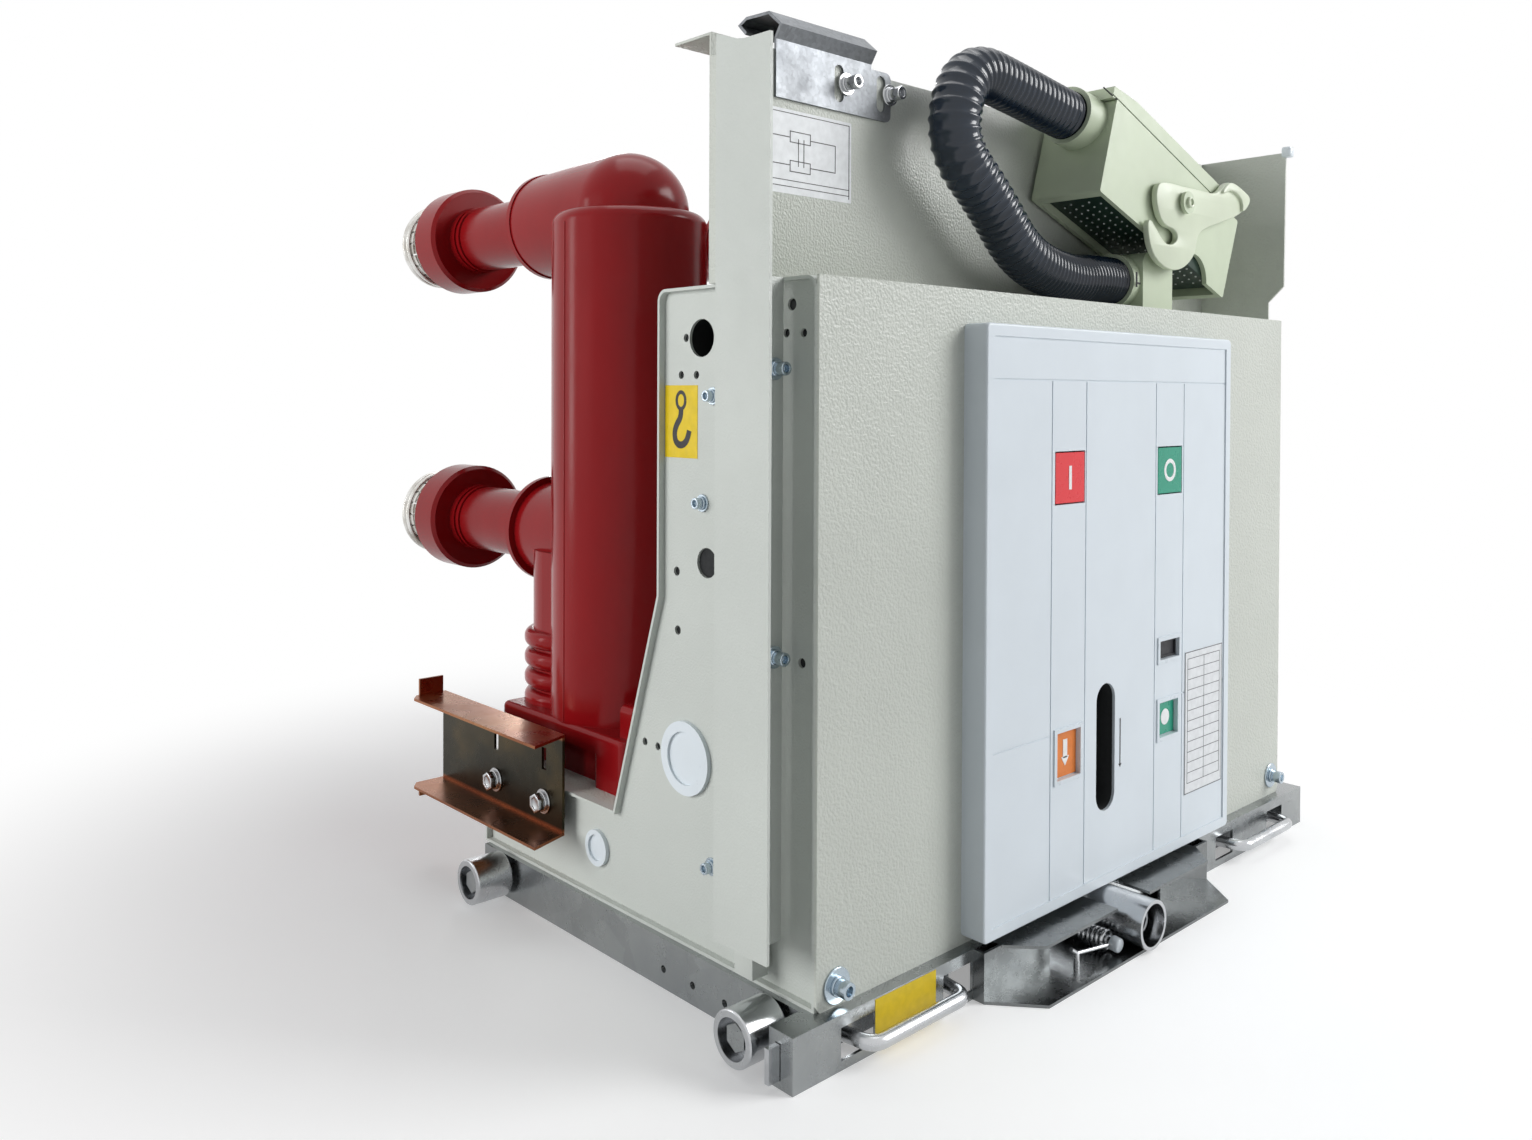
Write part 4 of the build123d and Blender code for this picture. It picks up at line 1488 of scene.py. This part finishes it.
@dataclass
class PlugDressing:
    """Pin block painted dark as shade, pin ends painted white as highlights, cam lever, seam, and
    painted shade in the clip slots of the control plug.
    """

    palette: Palette
    front: float = 24.0
    back: float = 86.0
    low_start: Pair = (34.0, 537.5)
    low_end: Pair = (229.0, 468.0)
    pivot: Pair = (147.4, 540.0)
    block_size: Triple = (186.0, 53.5, 20.0)
    pin_columns: int = 20
    pin_rows: int = 6
    pin_pitch: float = 8.2

    def build(self) -> None:
        """Build every piece of the plug."""
        self.painted_shade_pin_block()
        self.lever()
        self.openings()
        x, z = self.pivot
        boss = Bench.rod("pivot_screw", 4.4, (x, 9.5, z), (x, 12.5, z), 36)
        Bench.sink(boss, Facing.FRONT, 1.6, 1.6)
        Bench.bevel(boss, 0.4, 2, 60.0)
        Bench.hand_over(boss, self.palette["lever_green"])

    def along(self, run: float, up: float) -> Pair:
        """Point by its run along the lower edge and its height over it.

        Args:
            run: Distance along the lower edge in millimetres.
            up: Distance at a right angle into the plug.

        Returns:
            The point as (x, z).
        """
        (x0, z0), (x1, z1) = self.low_start, self.low_end
        length = math.hypot(x1 - x0, z1 - z0)
        ux, uz = (x1 - x0) / length, (z1 - z0) / length
        return x0 + ux * run - uz * up, z0 + uz * run + ux * up

    def painted_shade_pin_block(self) -> None:
        """Block in the plug's mouth, dark as painted shade, with rows of pin ends painted white as
        highlights.
        """
        (x0, z0), (x1, z1) = self.low_start, self.low_end
        tilt = math.atan2(z1 - z0, x1 - x0)
        mid = self.along(103.0, 15.5)
        centre = place(mid[0], (self.front + self.back) / 2, mid[1])
        bpy.ops.object.select_all(action="DESELECT")
        bpy.ops.mesh.primitive_cube_add(size=1.0, location=centre, rotation=(0, -tilt, 0))
        block = bpy.context.object
        block.name = "painted_shade_pin_block"
        block.scale = [side * MM for side in self.block_size]
        Bench.settle_transform(block)
        Bench.bevel(block, 1.0, 2)
        # Painted shade: the block's dark green stands for the shade in the plug's mouth.
        Bench.hand_over(block, self.palette["painted_shade_green"])
        pins = []
        for column in range(self.pin_columns):
            for row in range(self.pin_rows):
                run = 24.0 + self.pin_pitch * column + (row % 2) * self.pin_pitch / 2
                x, z = self.along(run, 7.0)
                x2, z2 = self.along(run, 4.8)
                depth = self.front + 8.5 + self.pin_pitch * row
                pins.append(Bench.rod("pin", 0.8, (x, depth, z), (x2, depth, z2), 8))
        # Painted highlight: the pin ends are white to stand for the glints on them.
        Bench.hand_over(Bench.join("plug_pins_painted_glint", pins), self.palette["white_ink"])

    def lever(self) -> None:
        """Cam lever with a smooth outline, a hooked slot and a thick end."""
        outline = [
            (111.0, 553.0), (125.0, 554.2), (146.0, 553.6), (168.0, 553.8), (186.0, 553.6),
            (198.0, 553.5), (208.0, 556.5), (216.0, 562.5), (224.8, 567.2), (237.6, 565.0),
            (249.6, 561.5), (260.2, 558.0), (259.6, 551.5), (252.5, 545.0), (238.0, 538.4),
            (220.0, 533.0), (198.8, 527.4), (181.6, 522.3), (172.2, 516.4), (169.7, 508.8),
            (166.8, 500.2), (158.6, 492.7), (146.2, 486.3), (132.1, 483.9), (117.5, 485.8),
            (105.0, 491.2), (96.9, 499.2), (92.8, 509.8), (92.0, 519.0), (94.5, 521.6),
            (98.0, 520.8), (101.5, 518.0), (107.1, 513.6), (113.0, 508.6), (120.3, 504.6),
            (130.8, 504.6), (138.2, 508.8), (138.2, 514.4), (132.0, 517.8), (123.3, 518.4),
            (116.3, 520.7), (110.7, 525.5), (107.0, 532.0), (104.8, 539.3), (105.6, 547.4),
        ]
        cheek = Bench.plate("lever_cheek", outline, "Y", 17.0, 22.0, 0.9)
        x, z = self.pivot
        Bench.cut(cheek, Bench.rod("tool", 6.3, (x, 10.0, z), (x, 30.0, z), 40))
        rim = [
            (209.0, 555.0), (216.0, 562.0), (224.8, 566.8), (237.6, 564.8), (249.6, 561.2),
            (259.8, 557.6), (259.0, 551.8), (252.0, 545.4), (245.5, 543.0), (247.0, 549.0),
            (242.0, 556.0), (226.0, 560.0), (217.0, 556.0),
        ]
        end = Bench.plate("lever_end", rim, "Y", 14.6, 21.0, 0.9)
        hood = [
            (243.6, 547.8), (240.8, 561.0), (244.0, 564.2), (252.0, 562.4), (258.6, 557.0),
            (258.4, 551.0), (253.0, 546.8),
        ]
        knob = Bench.plate("lever_knob", hood, "Y", 17.5, 51.0, 0.8)
        whole = Bench.join("cam_lever", [cheek, end, knob])
        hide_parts("plug_lever")
        Bench.hand_over(whole, self.palette["lever_green"], "plug_lever", "lever_green", 50.0)

    def openings(self) -> None:
        """Dark marks: the lid's seam line, and painted shade in the slots of the two hose clips."""
        seam = [(40.0, 616.7), (57.3, 611.1), (202.0, 557.8), (232.0, 545.7)]
        parts = []
        depth = self.front + 1.25
        for (x0, z0), (x1, z1) in zip(seam, seam[1:]):
            parts.append(Bench.rod("seam", 0.55, (x0, depth, z0), (x1, depth, z1), 8))
        # Painted shade: thin dark blocks where the two hose clips' slots open.
        parts.append(Bench.block("clip_gap", (93.6, 27.8, 469.0), (95.4, 28.4, 481.0)))
        parts.append(Bench.block("clip_gap", (95.4, 27.8, 471.4), (100.0, 28.4, 473.0)))
        Bench.hand_over(Bench.join("plug_gaps", parts), self.palette["painted_shade_and_seam_black"])


@dataclass
class PoleDressing:
    """Thin parting seams on the sides of the pole castings."""

    palette: Palette
    pitch: float = 210.0
    radius: float = 60.0
    depth: float = 288.0
    foot_z: float = 137.0
    head_z: float = 511.0

    def build(self) -> None:
        """Build the seams of the three poles."""
        for name, x in (("left", -self.pitch), ("centre", 0.0), ("right", self.pitch)):
            beads = []
            for sign in (-1, 1):
                edge = x + sign * (self.radius - 0.35)
                low, high = (edge, self.depth, self.foot_z), (edge, self.depth, self.head_z)
                beads.append(Bench.rod("seam", 1.0, low, high, 12))
            piece = Bench.join(f"pole_seams_{name}", beads)
            Bench.hand_over(piece, self.palette["red_resin"], slot="red_epoxy")


@dataclass
class Studio:
    """Camera, lamps, world and pale floor."""

    eye: Triple = (-773.3, -478.93, 381.26)
    yaw: float = 42.92
    pitch: float = -0.67
    roll: float = 0.24
    focal_px: float = 1211.89
    centre_px: Pair = (770.12, 410.33)
    picture_px: tuple[int, int] = (1532, 1140)
    sensor_mm: float = 36.0
    floor_fade: Pair = (0.42, 0.86)
    floor_lift: float = 0.3

    def camera(self) -> None:
        """Stand the camera at the photograph's place and angle."""
        data = bpy.data.cameras.new("photo_camera")
        camera = bpy.data.objects.new("photo_camera", data)
        bpy.context.scene.collection.objects.link(camera)
        yaw, pitch, roll = (math.radians(a) for a in (self.yaw, self.pitch, self.roll))
        level = math.cos(pitch)
        ahead = Vector((math.sin(yaw) * level, math.cos(yaw) * level, math.sin(pitch)))
        right = Vector((math.cos(yaw), -math.sin(yaw), 0.0))
        up = right.cross(ahead)
        side = right * math.cos(roll) + up * math.sin(roll)
        top = up * math.cos(roll) - right * math.sin(roll)
        matrix = Matrix((side, top, -ahead)).transposed().to_4x4()
        matrix.translation = place(*self.eye)
        camera.matrix_world = matrix
        width, height = self.picture_px
        data.sensor_fit = "HORIZONTAL"
        data.sensor_width = self.sensor_mm
        data.lens = self.focal_px / width * self.sensor_mm
        data.shift_x = (width / 2 - self.centre_px[0]) / width
        data.shift_y = (self.centre_px[1] - height / 2) / width
        data.clip_start, data.clip_end = 0.02, 60.0
        bpy.context.scene.camera = camera

    def lamp(
        self,
        name: str,
        spot: Triple,
        aim: Triple,
        size: Pair,
        power: float,
        mirrored: bool = True,
    ) -> bpy.types.Object:
        """Soft rectangular lamp.

        Args:
            name: Name of the lamp.
            spot: Its place in metres.
            aim: Point that it faces, in metres.
            size: Width and height in metres.
            power: Power in watts.
            mirrored: Whether glossy surfaces show it.

        Returns:
            The lamp.
        """
        data = bpy.data.lights.new(name, "AREA")
        data.shape = "RECTANGLE"
        data.size, data.size_y = size
        data.energy = power
        lamp = bpy.data.objects.new(name, data)
        lamp.location = spot
        lamp.rotation_euler = (Vector(aim) - Vector(spot)).to_track_quat("-Z", "Y").to_euler()
        lamp.visible_glossy = mirrored
        bpy.context.scene.collection.objects.link(lamp)
        return lamp

    def lamps(self, floor: bpy.types.Object) -> None:
        """Key at the front right, broad lamp at the left rear, two strips and a soft top lamp.

        Args:
            floor: The floor, which the side lamp leaves out so that the key's shadow stays on it.
        """
        middle = (0.0, 0.0, 0.3)
        self.lamp("key", (2.2, -2.3, 1.9), middle, (1.7, 1.7), 82.0)
        self.lamp("front_fill", (1.3, -2.9, 0.8), (0.1, 0.0, 0.3), (1.4, 1.2), 12.0, mirrored=False)
        self.lamp("left_strip", (-2.3, 1.7, 0.7), (-0.2, 0.0, 0.3), (0.4, 1.3), 8.0)
        self.lamp("rear_strip", (1.2, 2.2, 0.9), (0.0, 0.1, 0.35), (0.2, 1.4), 6.0)
        self.lamp("top", (0.2, 0.2, 2.6), middle, (1.6, 1.6), 14.0)
        spot, aim = (-2.7, 0.75, 0.9), (-0.3, 0.05, 0.3)
        side = self.lamp("left_side", spot, aim, (1.3, 1.5), 48.0, mirrored=False)
        unlit = bpy.data.collections.new("left_side_leaves_out")
        unlit.objects.link(floor)
        unlit.collection_objects[0].light_linking.link_state = "EXCLUDE"
        side.light_linking.receiver_collection = unlit

    @staticmethod
    def shown_rays(tree: bpy.types.NodeTree) -> Socket:
        """Value of one where the camera, metal or glass looks, and of zero in plain lighting.

        Args:
            tree: Node tree that gets the nodes.

        Returns:
            The value socket.
        """
        path = tree.nodes.new("ShaderNodeLightPath")
        shown = path.outputs["Is Camera Ray"]
        for ray in ("Is Glossy Ray", "Is Transmission Ray"):
            shown = combine(tree, "MAXIMUM", shown, path.outputs[ray])
        return shown

    def world(self) -> None:
        """Even pale surroundings that look white to the camera and in metal."""
        world = bpy.data.worlds.new("studio")
        bpy.context.scene.world = world
        world.use_nodes = True
        tree = world.node_tree
        lit = tree.nodes["Background"]
        lit.inputs["Color"].default_value = (0.93, 0.96, 1.0, 1.0)
        lit.inputs["Strength"].default_value = 0.2
        seen = tree.nodes.new("ShaderNodeBackground")
        seen.inputs["Color"].default_value = (1.0, 1.0, 1.0, 1.0)
        seen.inputs["Strength"].default_value = 1.0
        mix = tree.nodes.new("ShaderNodeMixShader")
        tree.links.new(self.shown_rays(tree), mix.inputs["Fac"])
        tree.links.new(lit.outputs["Background"], mix.inputs[1])
        tree.links.new(seen.outputs["Background"], mix.inputs[2])
        tree.links.new(mix.outputs["Shader"], tree.nodes["World Output"].inputs["Surface"])

    def floor(self) -> bpy.types.Object:
        """Lay a pale floor that turns white away from the object.

        Returns:
            The floor.
        """
        bpy.ops.object.select_all(action="DESELECT")
        bpy.ops.mesh.primitive_plane_add(size=40.0, location=(0, 0, 0))
        floor = bpy.context.object
        floor.name = "studio_floor"
        material = bpy.data.materials.new("studio_floor")
        material.use_nodes = True
        tree = material.node_tree
        surface = tree.nodes["Principled BSDF"]
        surface.inputs["Base Color"].default_value = (0.86, 0.86, 0.86, 1.0)
        surface.inputs["Roughness"].default_value = 0.85
        surface.inputs["Specular IOR Level"].default_value = 0.1
        coords = tree.nodes.new("ShaderNodeTexCoord")
        reach = tree.nodes.new("ShaderNodeVectorMath")
        reach.operation = "LENGTH"
        tree.links.new(coords.outputs["Object"], reach.inputs[0])
        fade = tree.nodes.new("ShaderNodeMapRange")
        fade.interpolation_type = "SMOOTHSTEP"
        start, end = self.floor_fade
        fade.inputs["From Min"].default_value = start
        fade.inputs["From Max"].default_value = end
        tree.links.new(reach.outputs["Value"], fade.inputs["Value"])
        viewed = self.shown_rays(tree)
        white = combine(tree, "MULTIPLY", fade.outputs["Result"], viewed)
        glow = tree.nodes.new("ShaderNodeEmission")
        lift = tree.nodes.new("ShaderNodeEmission")
        tree.links.new(combine(tree, "MULTIPLY", viewed, self.floor_lift), lift.inputs["Strength"])
        near = tree.nodes.new("ShaderNodeAddShader")
        tree.links.new(surface.outputs["BSDF"], near.inputs[0])
        tree.links.new(lift.outputs["Emission"], near.inputs[1])
        mix = tree.nodes.new("ShaderNodeMixShader")
        tree.links.new(white, mix.inputs["Fac"])
        tree.links.new(near.outputs["Shader"], mix.inputs[1])
        tree.links.new(glow.outputs["Emission"], mix.inputs[2])
        tree.links.new(mix.outputs["Shader"], tree.nodes["Material Output"].inputs["Surface"])
        floor.data.materials.append(material)
        return floor

    def build(self) -> None:
        """Build the studio."""
        self.camera()
        self.world()
        self.lamps(self.floor())
        bpy.context.scene.view_settings.view_transform = "Standard"


def main() -> None:
    """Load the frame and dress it."""
    logging.basicConfig(level=logging.INFO, format="%(name)s: %(message)s")
    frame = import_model()
    studio = Studio()
    studio.build()
    palette = Palette()
    palette.dress_frame(frame["nodes"])
    CorrugatedHose(palette).build()
    PlugDressing(palette).build()
    FrontDressing(palette).build()
    SideDressing(palette).build()
    GuardDressing(palette).build()
    TruckDressing(palette).build()
    PoleDressing(palette).build()
    LOG.info("sizes written")


if __name__ == "__main__":
    main()
